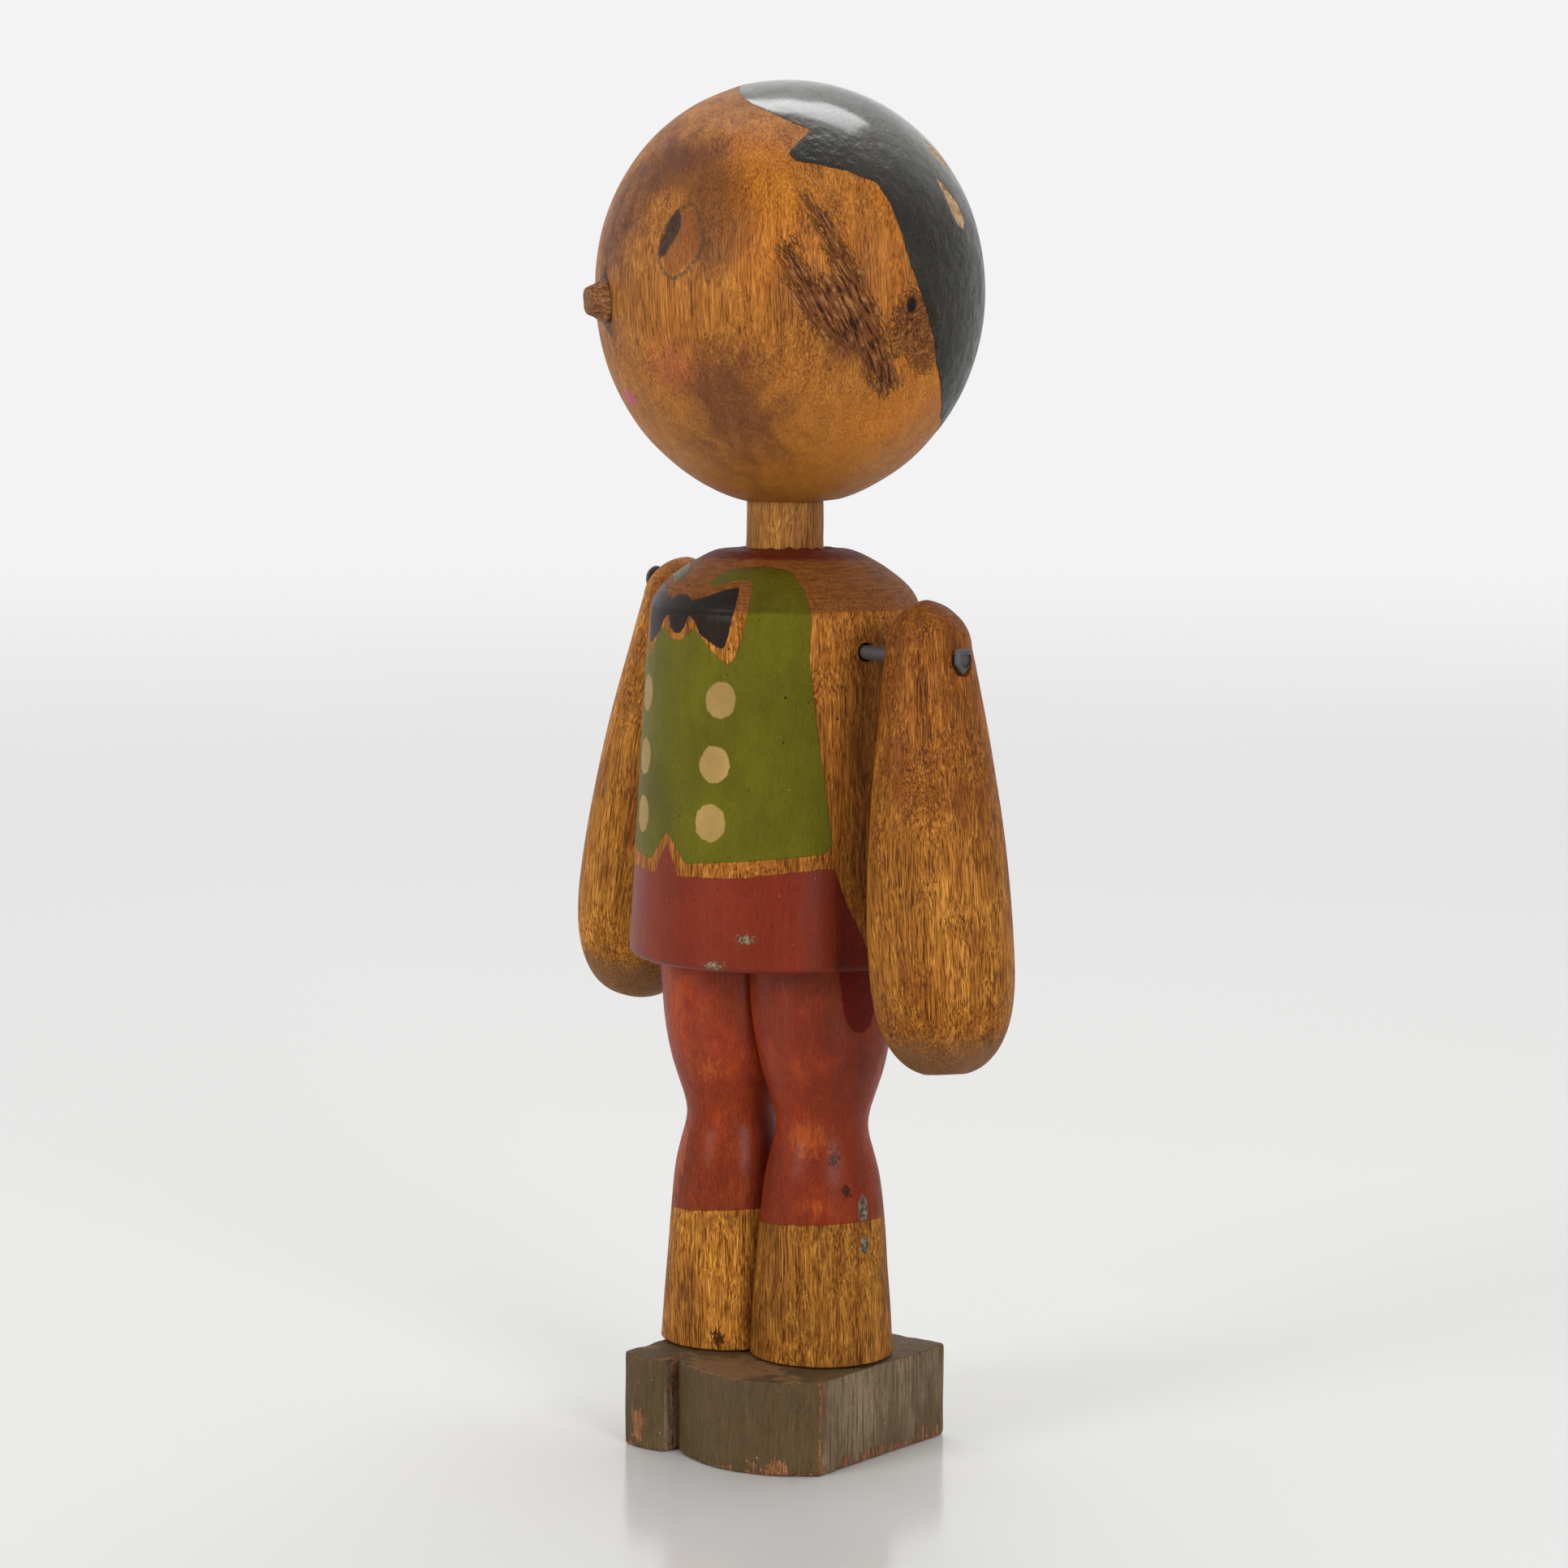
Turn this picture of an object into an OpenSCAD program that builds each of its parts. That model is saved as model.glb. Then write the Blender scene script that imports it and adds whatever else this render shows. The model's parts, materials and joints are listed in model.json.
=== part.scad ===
// Jointed turned-wood doll, a standing boy on a block foot.
// The origin is on the floor under the body's axis, +Z is up and the feet point along -Y.
// The doll's own left side is +X. The trunk and the head stand turned a little to the doll's right.

/* [Foot block] */
// Distance of the block's left side from the body's axis
base_left = 23.4; // [22:0.2:30]
// Distance of the block's right side from the body's axis
base_right = 18.8; // [17:0.2:28]
// Depth of the block's straight part, from the back face to the root of the toes
base_d = 35; // [32:1:44]
// Distance of the back face behind the body's axis
base_back = 18.2; // [16:0.2:24]
// Height of the block
base_h = 16.8; // [12:0.2:26]
// Radius of the big toe lobe, on the left foot
big_toe_r = 21.5; // [19:0.5:24]
// Sideways place of the big toe lobe's centre
big_toe_x = 6.5; // [4:0.5:8]
// How far the big toe lobe stands in front of the body's axis
big_toe_reach = 25.5; // [23:0.5:30]
// Radius of the small toe lobe, on the right foot
small_toe_r = 14; // [10:0.5:19]
// Sideways place of the small toe lobe's centre
small_toe_x = -12.3; // [-14:0.1:-11]
// How far the small toe lobe stands in front of the body's axis
small_toe_reach = 23.4; // [21:0.2:28]
// Sideways place of the notch between the toes
notch_x = -8.1; // [-9:0.1:-7]
// Depth of the notch between the toes
notch_d = 4; // [2:0.5:6]
// Width of the notch where it is open
notch_w = 2.2; // [1:0.2:3]
// Radius of the block's back corners
base_corner_r = 1.8; // [0.5:0.1:4]

/* [Legs] */
// Length of each leg, from the block to the trunk
leg_len = 70.3; // [60:1:90]
// Radius at the bottom of the boot
boot_r = 12.7; // [11:0.1:14.5]
// Radius of the calf, where it starts to narrow
calf_r = 10.8; // [10:0.1:12]
// Height of the calf above the block
calf_h = 26.5; // [22:0.5:30]
// Radius of the knee groove
knee_r = 8.2; // [7:0.1:9.6]
// Height of the knee groove above the block
knee_h = 41; // [37:0.5:46]
// Radius where the leg meets the trunk
thigh_r = 13.2; // [12:0.1:15]
// Distance of the left leg's axis to the left of the body's axis
left_leg_x = 9.4; // [8.5:0.1:11]
// Distance of the right leg's axis to the right of the body's axis
right_leg_x = 10.5; // [9:0.1:12]
// Distance of both legs in front of the body's axis
leg_forward = 1; // [0:0.5:3]
// Gap between the flats where the legs meet
leg_seam = 0.2; // [0.1:0.1:1]

/* [Trunk] */
// Height of the trunk's straight side, from its bottom rim to the shoulder line
trunk_side = 60.6; // [50:1:75]
// Radius at the bottom rim
trunk_bottom_r = 27.2; // [25:0.1:32]
// Radius at the shoulder line
trunk_top_r = 23.7; // [21:0.1:24.5]
// Height of the rounded shoulder above the shoulder line
shoulder_h = 11.6; // [8:0.1:16]
// Radius of the flat round the neck on top of the shoulder
neck_flat_r = 8.4; // [7.8:0.1:11]
// Roundness of the bottom rim
rim_r = 1.2; // [0.5:0.1:2]
// How far the trunk is turned to the doll's right, against its feet
trunk_turn = 12; // [0:1:20]

/* [Head and neck] */
// Greatest radius of the head
head_r = 33.9; // [30:0.1:36]
// Height of the head's widest line above its bottom
head_low_h = 36.2; // [30:0.1:44]
// Height of the head's top above its widest line
head_top_h = 36.5; // [30:0.1:44]
// Radius of the flat under the head
head_flat_r = 7.8; // [7.6:0.1:12]
// How far the head leans forward, in degrees
head_lean = 2; // [0:0.5:4]
// How far the head sits behind the neck's axis
head_back = 2; // [0:0.1:3]
// How far the head is turned to the doll's right, against its feet
head_turn = 33; // [0:1:180]
// Radius of the neck dowel
neck_r = 6.85; // [5:0.05:7]
// Length of neck that shows between the trunk and the head
neck_gap = 8; // [5:0.2:14]
// Depth of the neck's bore in the trunk
neck_bore_depth = 18; // [12:0.5:26]
// Depth of the neck's blind hole in the head
neck_in_head = 16; // [10:0.5:24]
// Running clearance of the neck in the trunk, on the radius
neck_play = 0.08; // [0.02:0.01:0.1]
// Clearance under the neck's end
neck_end_gap = 0.5; // [0.3:0.1:1]
// Radius of the nose peg's shank and of its tip
nose_r = 2.2; // [1.6:0.1:3]
// Radius of the nose's flared root
nose_root_r = 3.6; // [3.1:0.1:4.5]
// How far the flared root is let into the face
nose_root_sunk = 0.5; // [0.3:0.1:1]
// How far the nose sticks out of the face
nose_out = 3; // [2:0.1:8]
// Depth of the nose peg in the head
nose_depth = 9; // [5:0.5:14]
// Height of the nose above the head's bottom
nose_h = 35; // [30:0.5:40]

/* [Arms] */
// Length of the left arm
left_arm_len = 80; // [70:1:95]
// Length of the right arm
right_arm_len = 82.5; // [70:0.5:95]
// Radius of the arm below its rounded top
arm_top_r = 7.2; // [6:0.1:8]
// Height of the arm's rounded top
arm_cap_h = 8; // [6:0.1:10]
// Greatest radius of the arm
arm_belly_r = 12.2; // [10:0.1:13]
// Distance of the widest place below the arm's top
arm_belly_down = 60; // [50:1:65]
// How far each arm leans away from the trunk, in degrees
arm_lean = 7.5; // [6:0.5:12]
// How far each arm hangs forward, in degrees
arm_forward = 3.2; // [0:0.2:10]
// Height of the left arm's nail above the shoulder line
left_nail_rise = -6.1; // [-10:0.1:-2]
// Height of the right arm's nail above the shoulder line
right_nail_rise = 3.3; // [-2:0.1:4]
// Distance from the left arm's top down to its nail
left_nail_drop = 9.7; // [6:0.1:14]
// Distance from the right arm's top down to its nail
right_nail_drop = 4.4; // [4:0.1:10]
// Distance of the left arm from the trunk's axis, at the nail
left_arm_out = 39.6; // [36:0.1:44]
// Distance of the right arm from the trunk's axis, at the nail
right_arm_out = 34.6; // [33.6:0.1:40]
// How far the left nail passes in front of the trunk's axis
left_nail_front = 2.4; // [0:0.1:5]
// How far the right nail passes behind the trunk's axis
right_nail_back = 6.2; // [0:0.1:8]

/* [Nails and dowels] */
// Radius of an arm nail's shank
arm_nail_r = 1.2; // [0.9:0.05:1.6]
// Radius of an arm nail's head
arm_nail_head_r = 2.35; // [1.8:0.05:3]
// Thickness of an arm nail's head
arm_nail_head_h = 1.1; // [0.8:0.1:1.6]
// Depth of an arm nail in the trunk, from the trunk's straight side
arm_nail_depth = 11; // [8:0.5:13]
// Running clearance of a nail in its arm, on the radius
arm_play = 0.1; // [0.02:0.01:0.1]
// Depth of the flat seat cut round the nail in an arm's outer side
nail_seat_depth = 0.6; // [0.4:0.1:1]
// Gap between the left nail's head and its seat in the arm
left_head_gap = 0.4; // [0.3:0.1:2.5]
// Gap between the right nail's head and its seat in the arm
right_head_gap = 1.8; // [0.3:0.1:2.5]
// Radius of a foot nail's shank
foot_nail_r = 1.2; // [0.8:0.05:2]
// Radius of a foot nail's head
foot_nail_head_r = 2.6; // [2:0.1:4]
// Thickness of a foot nail's head
foot_nail_head_h = 1; // [0.6:0.1:2]
// How far a foot nail's head is sunk above the floor
foot_nail_sunk = 0.6; // [0.4:0.1:2]
// Length of a foot nail, over all
foot_nail_len = 34; // [30:1:44]
// Radius of the dowel between a leg and the trunk
leg_dowel_r = 4; // [3:0.1:5]
// Depth of a leg dowel in the leg
dowel_in_leg = 12; // [8:0.5:16]
// Depth of a leg dowel in the trunk
dowel_in_trunk = 12; // [8:0.5:18]

/* [Hidden] */
$fn = 64;
eps = 0.01;
through = 60;

leg_z = base_h;
trunk_z = leg_z + leg_len;
shoulder_z = trunk_z + trunk_side;
trunk_top = shoulder_z + shoulder_h * sin(acos(neck_flat_r / trunk_top_r));
head_z = trunk_top + neck_gap;
neck_bottom = trunk_top - neck_bore_depth + neck_end_gap;
seam_x = (left_leg_x - right_leg_x) / 2;
left_nail_z = shoulder_z + left_nail_rise;
right_nail_z = shoulder_z + right_nail_rise;

big_toe_y = big_toe_r - big_toe_reach;
small_toe_y = small_toe_r - small_toe_reach;
base_front = base_back - base_d;
notch_root_y = -sqrt(pow(big_toe_r, 2) - pow(big_toe_x - notch_x, 2)) + big_toe_y;

// A smooth run of points through the given ones, with "steps" pieces to each span.
function blend(a, b, c, d, t) =
    0.5 * (2 * b + (c - a) * t + (2 * a - 5 * b + 4 * c - d) * t * t
        + (3 * b - a - 3 * c + d) * t * t * t);
function smooth_run(p, steps) = concat(
    [for (i = [0:len(p) - 2], k = [0:steps - 1])
        blend(p[max(i - 1, 0)], p[i], p[i + 1], p[min(i + 2, len(p) - 1)], k / steps)],
    [p[len(p) - 1]]);

// Radius of an arm of length "len" at a distance "s" below its top.
function arm_radius(s, len) =
    s < arm_cap_h
        ? arm_top_r * sqrt(max(0, 1 - pow((arm_cap_h - s) / arm_cap_h, 2)))
        : s < arm_belly_down
            ? arm_top_r + (arm_belly_r - arm_top_r)
                * sin(90 * (s - arm_cap_h) / (arm_belly_down - arm_cap_h))
            : arm_belly_r
                * pow(max(0, 1 - pow((s - arm_belly_down) / (len - arm_belly_down), 2.5)), 0.4);

// Places along the nails of the seats in the arms, and of the undersides of the nails' heads.
nail_seat_r = arm_nail_head_r + 0.6;
left_seat = left_arm_out + arm_radius(left_nail_drop, left_arm_len) - nail_seat_depth;
right_seat = right_arm_out + arm_radius(right_nail_drop, right_arm_len) - nail_seat_depth;
left_head_place = left_seat + left_head_gap;
right_head_place = right_seat + right_head_gap;

// ---- Foot block and legs ----

module base_outline() {
    base_w = base_left + base_right;
    difference() {
        union() {
            translate([-base_right, base_front]) square([base_w, base_d - base_corner_r]);
            translate([base_corner_r - base_right, base_front])
                square([base_w - 2 * base_corner_r, base_d]);
            for (x = [base_corner_r - base_right, base_left - base_corner_r])
                translate([x, base_back - base_corner_r]) circle(base_corner_r);
            intersection() {
                translate([big_toe_x, big_toe_y]) circle(big_toe_r);
                translate([notch_x, -through]) square([base_left - notch_x, through]);
            }
            intersection() {
                translate([small_toe_x, small_toe_y]) circle(small_toe_r);
                translate([-base_right, -through]) square([base_right + notch_x, through]);
            }
        }
        polygon([
            [notch_x, notch_root_y + 0.6],
            [notch_x - notch_w / 2, notch_root_y - notch_d],
            [notch_x + notch_w / 2, notch_root_y - notch_d]
        ]);
    }
}

module at_leg(x) {
    translate([x, -leg_forward, 0]) children();
}

module base_block() {
    color("darkolivegreen")
        difference() {
            linear_extrude(base_h) base_outline();
            for (x = [left_leg_x, -right_leg_x])
                at_leg(x) foot_nail_shape();
        }
}

module foot_nail_shape() {
    translate([0, 0, foot_nail_sunk]) {
        cylinder(h = foot_nail_len, r = foot_nail_r);
        cylinder(h = foot_nail_head_h, r = foot_nail_head_r);
    }
    translate([0, 0, -eps]) cylinder(h = foot_nail_sunk + 2 * eps, r = foot_nail_head_r);
}

module foot_nail(x) {
    color("dimgray")
        at_leg(x)
            translate([0, 0, foot_nail_sunk])
                union() {
                    cylinder(h = foot_nail_len, r = foot_nail_r);
                    cylinder(h = foot_nail_head_h, r = foot_nail_head_r);
                }
}

module leg_dowel(x) {
    color("burlywood")
        at_leg(x)
            translate([0, 0, trunk_z - dowel_in_leg])
                cylinder(h = dowel_in_leg + dowel_in_trunk, r = leg_dowel_r);
}

module turned_leg() {
    profile = smooth_run([
        [boot_r, 0],
        [calf_r, calf_h],
        [(calf_r + knee_r) / 2, (calf_h + 2 * knee_h) / 3 - 0.7],
        [knee_r, knee_h],
        [(knee_r + thigh_r) / 2, knee_h + (leg_len - knee_h) * 0.32],
        [thigh_r - 0.9, knee_h + (leg_len - knee_h) * 0.66],
        [thigh_r, leg_len]
    ], 4);
    rotate_extrude()
        polygon(concat([[0, 0]], profile, [[0, leg_len]]));
}

// side is 1 for the left leg and -1 for the right one.
module leg(x, side) {
    color("firebrick")
        difference() {
            translate([x, -leg_forward, leg_z]) turned_leg();
            translate([seam_x + side * (leg_seam / 2 - through / 2), 0, leg_z])
                translate([-through / 2, -through / 2, -eps])
                    cube([through, through, leg_len + 2 * eps]);
            translate([x, -leg_forward, foot_nail_sunk])
                cylinder(h = foot_nail_len, r = foot_nail_r);
            translate([x, -leg_forward, trunk_z - dowel_in_leg])
                cylinder(h = dowel_in_leg + eps, r = leg_dowel_r);
        }
}

module left_leg() {
    leg(left_leg_x, 1);
}

module right_leg() {
    leg(-right_leg_x, -1);
}

module left_foot_nail() {
    foot_nail(left_leg_x);
}

module right_foot_nail() {
    foot_nail(-right_leg_x);
}

module left_leg_dowel() {
    leg_dowel(left_leg_x);
}

module right_leg_dowel() {
    leg_dowel(-right_leg_x);
}

// ---- Trunk ----

module turned_trunk() {
    shoulder_end = acos(neck_flat_r / trunk_top_r);
    rotate_extrude()
        polygon(concat(
            [[0, trunk_z]],
            [for (a = [-90:30:0])
                [trunk_bottom_r - rim_r + rim_r * cos(a), trunk_z + rim_r + rim_r * sin(a)]],
            [for (k = [0:12])
                [trunk_top_r * cos(shoulder_end * k / 12),
                 shoulder_z + shoulder_h * sin(shoulder_end * k / 12)]],
            [[0, trunk_top]]
        ));
}

module trunk() {
    color("olivedrab")
        difference() {
            turned_trunk();
            translate([0, 0, trunk_top - neck_bore_depth])
                cylinder(h = neck_bore_depth + eps, r = neck_r + neck_play);
            for (x = [left_leg_x, -right_leg_x])
                at_leg(x)
                    translate([0, 0, trunk_z - eps])
                        cylinder(h = dowel_in_trunk + eps, r = leg_dowel_r);
            at_left_nail() nail_shank(left_head_place);
            at_right_nail() nail_shank(right_head_place);
        }
}

// ---- Head ----

// The head's own place: the neck and the nose turn with it about the upright axis.
module in_head() {
    rotate([0, 0, -head_turn]) children();
}

module place_head() {
    in_head() translate([0, head_back, head_z]) rotate([head_lean, 0, 0]) children();
}

module neck_shape(extra) {
    translate([0, 0, neck_bottom])
        cylinder(h = head_z + neck_in_head - neck_bottom + extra, r = neck_r);
}

module neck_dowel() {
    color("saddlebrown") in_head() neck_shape(0);
}

module turned_head() {
    start = acos(head_flat_r / head_r);
    rotate_extrude()
        polygon(concat(
            [[0, head_low_h * (1 - sin(start))]],
            [for (k = [0:14])
                [head_r * cos(start * (k / 14 - 1)),
                 head_low_h * (1 + sin(start * (k / 14 - 1)))]],
            [for (k = [1:17])
                [head_r * cos(90 * k / 18), head_low_h + head_top_h * sin(90 * k / 18)]],
            [[0, head_low_h + head_top_h]]
        ));
}

module at_nose() {
    translate([0, -head_r, nose_h]) rotate([90, 0, 0]) children();
}

module nose_shank() {
    translate([0, 0, -nose_depth]) cylinder(h = nose_depth, r = nose_r);
}

module head() {
    color("sandybrown")
        difference() {
            place_head() turned_head();
            in_head() neck_shape(0);
            place_head() at_nose() nose_shank();
            place_head() at_nose()
                translate([0, 0, -nose_root_sunk]) cylinder(h = nose_out, r = nose_root_r);
        }
}

module nose_peg() {
    color("sienna")
        place_head() at_nose()
            union() {
                nose_shank();
                translate([0, 0, -nose_root_sunk])
                    cylinder(h = nose_root_sunk + nose_out, r1 = nose_root_r, r2 = nose_r);
            }
}

// ---- Arms and their nails ----

// Each nail's own place: the origin is on the trunk's axis and +Z runs out along the nail.
module at_left_nail() {
    rotate([0, 0, -trunk_turn])
        translate([0, -left_nail_front, left_nail_z]) rotate([0, 90, 0]) children();
}

module at_right_nail() {
    rotate([0, 0, -trunk_turn])
        translate([0, right_nail_back, right_nail_z]) rotate([0, -90, 0]) children();
}

// head_z is the place of the underside of the nail's head along the nail.
module nail_shank(head_z) {
    nail_end = trunk_top_r - arm_nail_depth;
    translate([0, 0, nail_end]) cylinder(h = head_z - nail_end, r = arm_nail_r);
}

module nail_shape(head_z) {
    union() {
        nail_shank(head_z);
        translate([0, 0, head_z]) cylinder(h = arm_nail_head_h, r = arm_nail_head_r);
    }
}

module turned_arm(len) {
    cap_steps = [for (k = [1:6]) arm_cap_h * (1 - cos(15 * k))];
    body_steps = [for (k = [1:8]) arm_cap_h + (arm_belly_down - arm_cap_h) * k / 8];
    end_steps = [for (k = [1:13]) arm_belly_down + (len - arm_belly_down) * sin(90 * k / 14)];
    rotate_extrude()
        polygon(concat(
            [[0, 0]],
            [for (s = concat(cap_steps, body_steps, end_steps)) [arm_radius(s, len), -s]],
            [[0, -len]]
        ));
}

// Drawn about its nail: side is 1 for the left arm and -1 for the right one.
module arm(side, len, drop, out, seat) {
    difference() {
        translate([side * out, 0, 0])
            rotate([-arm_forward, 0, 0])
                rotate([0, -side * arm_lean, 0])
                    translate([0, 0, drop]) turned_arm(len);
        translate([side * out - through / 2, 0, 0])
            rotate([0, 90, 0]) cylinder(h = through, r = arm_nail_r + arm_play);
        translate([side * seat, 0, 0])
            rotate([0, side * 90, 0]) cylinder(h = through / 2, r = nail_seat_r);
    }
}

module left_arm() {
    color("peru")
        rotate([0, 0, -trunk_turn]) translate([0, -left_nail_front, left_nail_z])
            arm(1, left_arm_len, left_nail_drop, left_arm_out, left_seat);
}

module right_arm() {
    color("peru")
        rotate([0, 0, -trunk_turn]) translate([0, right_nail_back, right_nail_z])
            arm(-1, right_arm_len, right_nail_drop, right_arm_out, right_seat);
}

module left_arm_nail() {
    color("dimgray") at_left_nail() nail_shape(left_head_place);
}

module right_arm_nail() {
    color("dimgray") at_right_nail() nail_shape(right_head_place);
}

base_block();
left_leg();
right_leg();
left_foot_nail();
right_foot_nail();
left_leg_dowel();
right_leg_dowel();
trunk();
neck_dowel();
head();
nose_peg();
left_arm();
right_arm();
left_arm_nail();
right_arm_nail();
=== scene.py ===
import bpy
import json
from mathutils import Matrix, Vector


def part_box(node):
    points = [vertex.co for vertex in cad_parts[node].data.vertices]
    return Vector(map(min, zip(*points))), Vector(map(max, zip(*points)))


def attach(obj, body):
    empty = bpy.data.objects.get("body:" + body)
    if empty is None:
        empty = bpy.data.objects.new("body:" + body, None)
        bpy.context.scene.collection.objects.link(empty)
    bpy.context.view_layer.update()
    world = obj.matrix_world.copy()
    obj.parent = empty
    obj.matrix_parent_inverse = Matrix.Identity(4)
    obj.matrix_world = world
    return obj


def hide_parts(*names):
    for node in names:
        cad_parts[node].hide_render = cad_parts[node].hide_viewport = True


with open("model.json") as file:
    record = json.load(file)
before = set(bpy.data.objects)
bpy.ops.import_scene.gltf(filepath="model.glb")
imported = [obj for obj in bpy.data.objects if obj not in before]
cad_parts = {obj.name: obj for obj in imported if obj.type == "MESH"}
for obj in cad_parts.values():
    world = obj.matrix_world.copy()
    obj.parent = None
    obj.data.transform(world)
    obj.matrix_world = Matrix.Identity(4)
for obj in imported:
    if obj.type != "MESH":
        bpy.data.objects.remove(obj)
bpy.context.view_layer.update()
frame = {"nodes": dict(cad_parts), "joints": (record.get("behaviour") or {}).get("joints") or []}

import json
import math

import bmesh
import bpy
import numpy as np
from mathutils import Matrix, Vector, noise

bl_info = {
    "name": "Jointed turned-wood doll",
    "version": (1, 0, 0),
    "blender": (4, 5, 0),
    "location": "View3D > Sidebar > Doll",
    "description": "A painted boy doll of turned wood, with a head that turns and arms on nails",
    "category": "Add Mesh",
}

# Lengths are in millimetres until a piece is put in its place in the frame.
MM = 0.001


def colour(text):
    """A linear colour from six hex digits."""
    parts = [int(text[i:i + 2], 16) / 255 for i in (0, 2, 4)]
    return tuple(c / 12.92 if c <= 0.04045 else ((c + 0.055) / 1.055) ** 2.4 for c in parts)


# ---- What the frame says: places, axes and turns, in millimetres and radians ----

def corners(node):
    """A node's lowest and highest corners."""
    low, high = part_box(node)
    return Vector(low) / MM, Vector(high) / MM


def middle(node):
    """The middle of a node's box."""
    low, high = corners(node)
    return (low + high) / 2


JOINTS = {joint["name"]: joint for joint in frame["joints"]}
LEFT_NAIL = Vector(JOINTS["left_arm_swing"]["pos_m"]) / MM
RIGHT_NAIL = Vector(JOINTS["right_arm_swing"]["pos_m"]) / MM
NAIL_AXIS = Vector(JOINTS["left_arm_swing"]["axis"])
TRUNK_TURN = math.atan2(NAIL_AXIS.y, -NAIL_AXIS.x)
NOSE_MIDDLE = middle("nose_peg")
HEAD_TURN = math.atan2(-NOSE_MIDDLE.x, -NOSE_MIDDLE.y)
BASE_LOW, BASE_HIGH = corners("base_block")
TRUNK_LOW, TRUNK_HIGH = corners("trunk")
HEAD_LOW, HEAD_HIGH = corners("head")
NECK_LOW, NECK_HIGH = corners("neck_dowel")
NECK_R = (NECK_HIGH.x - NECK_LOW.x) / 2


# ---- Sizes and colours that a user would change ----

def size(name, text, value, low, high):
    """A length, given here in millimetres and kept in metres."""
    return bpy.props.FloatProperty(name=name, description=text, default=value * MM, min=low * MM,
                                   max=high * MM, precision=5, unit="LENGTH")


def lean(name, text, value, low, high):
    """An angle, given here in degrees and kept in radians."""
    low, value, high = (math.radians(angle) for angle in (low, value, high))
    return bpy.props.FloatProperty(name=name, description=text, default=value, min=low, max=high,
                                   subtype="ANGLE")


def tint(name, text, value):
    """A colour, given here as six hex digits."""
    return bpy.props.FloatVectorProperty(
        name=name, description=text, default=colour(value), subtype="COLOR", size=3, min=0, max=1)


class DollShape(bpy.types.PropertyGroup):
    """How the pieces are shaped, beyond the frame's own sizes."""
    head_lean: lean("Head lean", "How far the head leans forward", 2.0, 0, 4)
    head_low: size("Head below its widest line", "Height of the head's lower half", 36.2, 30, 44)
    trunk_side: size("Trunk side", "Height of the trunk's straight side", 60.6, 50, 75)
    arm_lean: lean("Arm lean", "How far an arm leans outwards", 7.5, 6, 12)
    arm_forward: lean("Arm forward", "How far an arm hangs forwards", 3.2, 0, 10)
    left_drop: size("Left nail drop", "From the left arm's top to its nail", 9.7, 6, 14)
    right_drop: size("Right nail drop", "From the right arm's top to its nail", 4.4, 4, 10)
    unevenness: size("Unevenness", "Hand-made wobble of the turned faces", 0.3, 0, 1)


class DollColours(bpy.types.PropertyGroup):
    """The woods and the paints."""
    wood_light: tint("Light wood", "Light streaks of the varnished wood", "C88434")
    wood_middle: tint("Middle wood", "Main tone of the varnished wood", "A0601B")
    wood_dark: tint("Dark wood", "Dark streaks and pores", "542704")
    hair: tint("Hair paint", "Dark olive-black gloss paint", "2A271C")
    vest: tint("Vest paint", "Olive green paint", "65650A")
    shorts: tint("Shorts paint", "Brick-red paint", "842105")
    stockings: tint("Stocking paint", "Red-brown paint on the legs", "962C12")
    bow: tint("Bow paint", "Black paint of the bow tie", "0F0D0A")
    buttons: tint("Button paint", "Cream paint of the buttons", "BC995A")
    shoulder: tint("Shoulder stain", "Red-brown stain round the neck", "784014")
    foot: tint("Foot paint", "Olive-grey paint of the foot block", "5E4D2F")
    iron: tint("Nail iron", "Dark oxidised iron", "241D18")


def shape():
    """The doll's sizes in this scene."""
    return bpy.context.scene.doll_shape


def long(name):
    """One of the lengths, in millimetres."""
    return getattr(shape(), name) / MM


def colours():
    """The doll's colours in this scene."""
    return bpy.context.scene.doll_colours


# ---- Outlines and distances ----

def smooth_run(points, steps):
    """A smooth run through the points, with "steps" pieces to each span."""
    last = len(points) - 1
    run = []
    for i in range(last):
        a, b, c, d = (Vector(points[max(0, min(last, k))]) for k in (i - 1, i, i + 1, i + 2))
        for k in range(steps):
            t = k / steps
            run.append(0.5 * (2 * b + (c - a) * t + (2 * a - 5 * b + 4 * c - d) * t * t
                              + (3 * b - a - 3 * c + d) * t ** 3))
    return [tuple(p) for p in run] + [tuple(points[last])]


def rounded(points, steps=5):
    """A closed outline with its corners run smooth."""
    ring = points[-2:] + points + points[:3]
    return smooth_run(ring, steps)[2 * steps:(len(points) + 2) * steps]


def inside(outline, u, v):
    """Distance of each point (u, v) inside the closed outline, negative outside it."""
    points = np.array(outline, float)
    nearest = np.full(u.shape, 1e9)
    within = np.zeros(u.shape, bool)
    for (ax, ay), (bx, by) in zip(points, np.roll(points, -1, 0)):
        ex, ey = bx - ax, by - ay
        t = np.clip(((u - ax) * ex + (v - ay) * ey) / max(ex * ex + ey * ey, 1e-12), 0, 1)
        nearest = np.minimum(nearest, np.hypot(u - ax - t * ex, v - ay - t * ey))
        crosses = (ay > v) != (by > v)
        if ey:
            within ^= crosses & (u < ax + (v - ay) * ex / ey)
    return np.where(within, nearest, -nearest)


def spot(u, v, at, half_width, half_height):
    """Distance inside an oval spot, in about millimetres."""
    reach = np.hypot((u - at[0]) / half_width, (v - at[1]) / half_height)
    return (1 - reach) * min(half_width, half_height)


def round_from_front(place):
    """Angle in degrees round the upright axis, from the front towards the doll's left."""
    return np.degrees(np.arctan2(place[:, 0], -place[:, 1]))


# ---- Meshes ----

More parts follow.
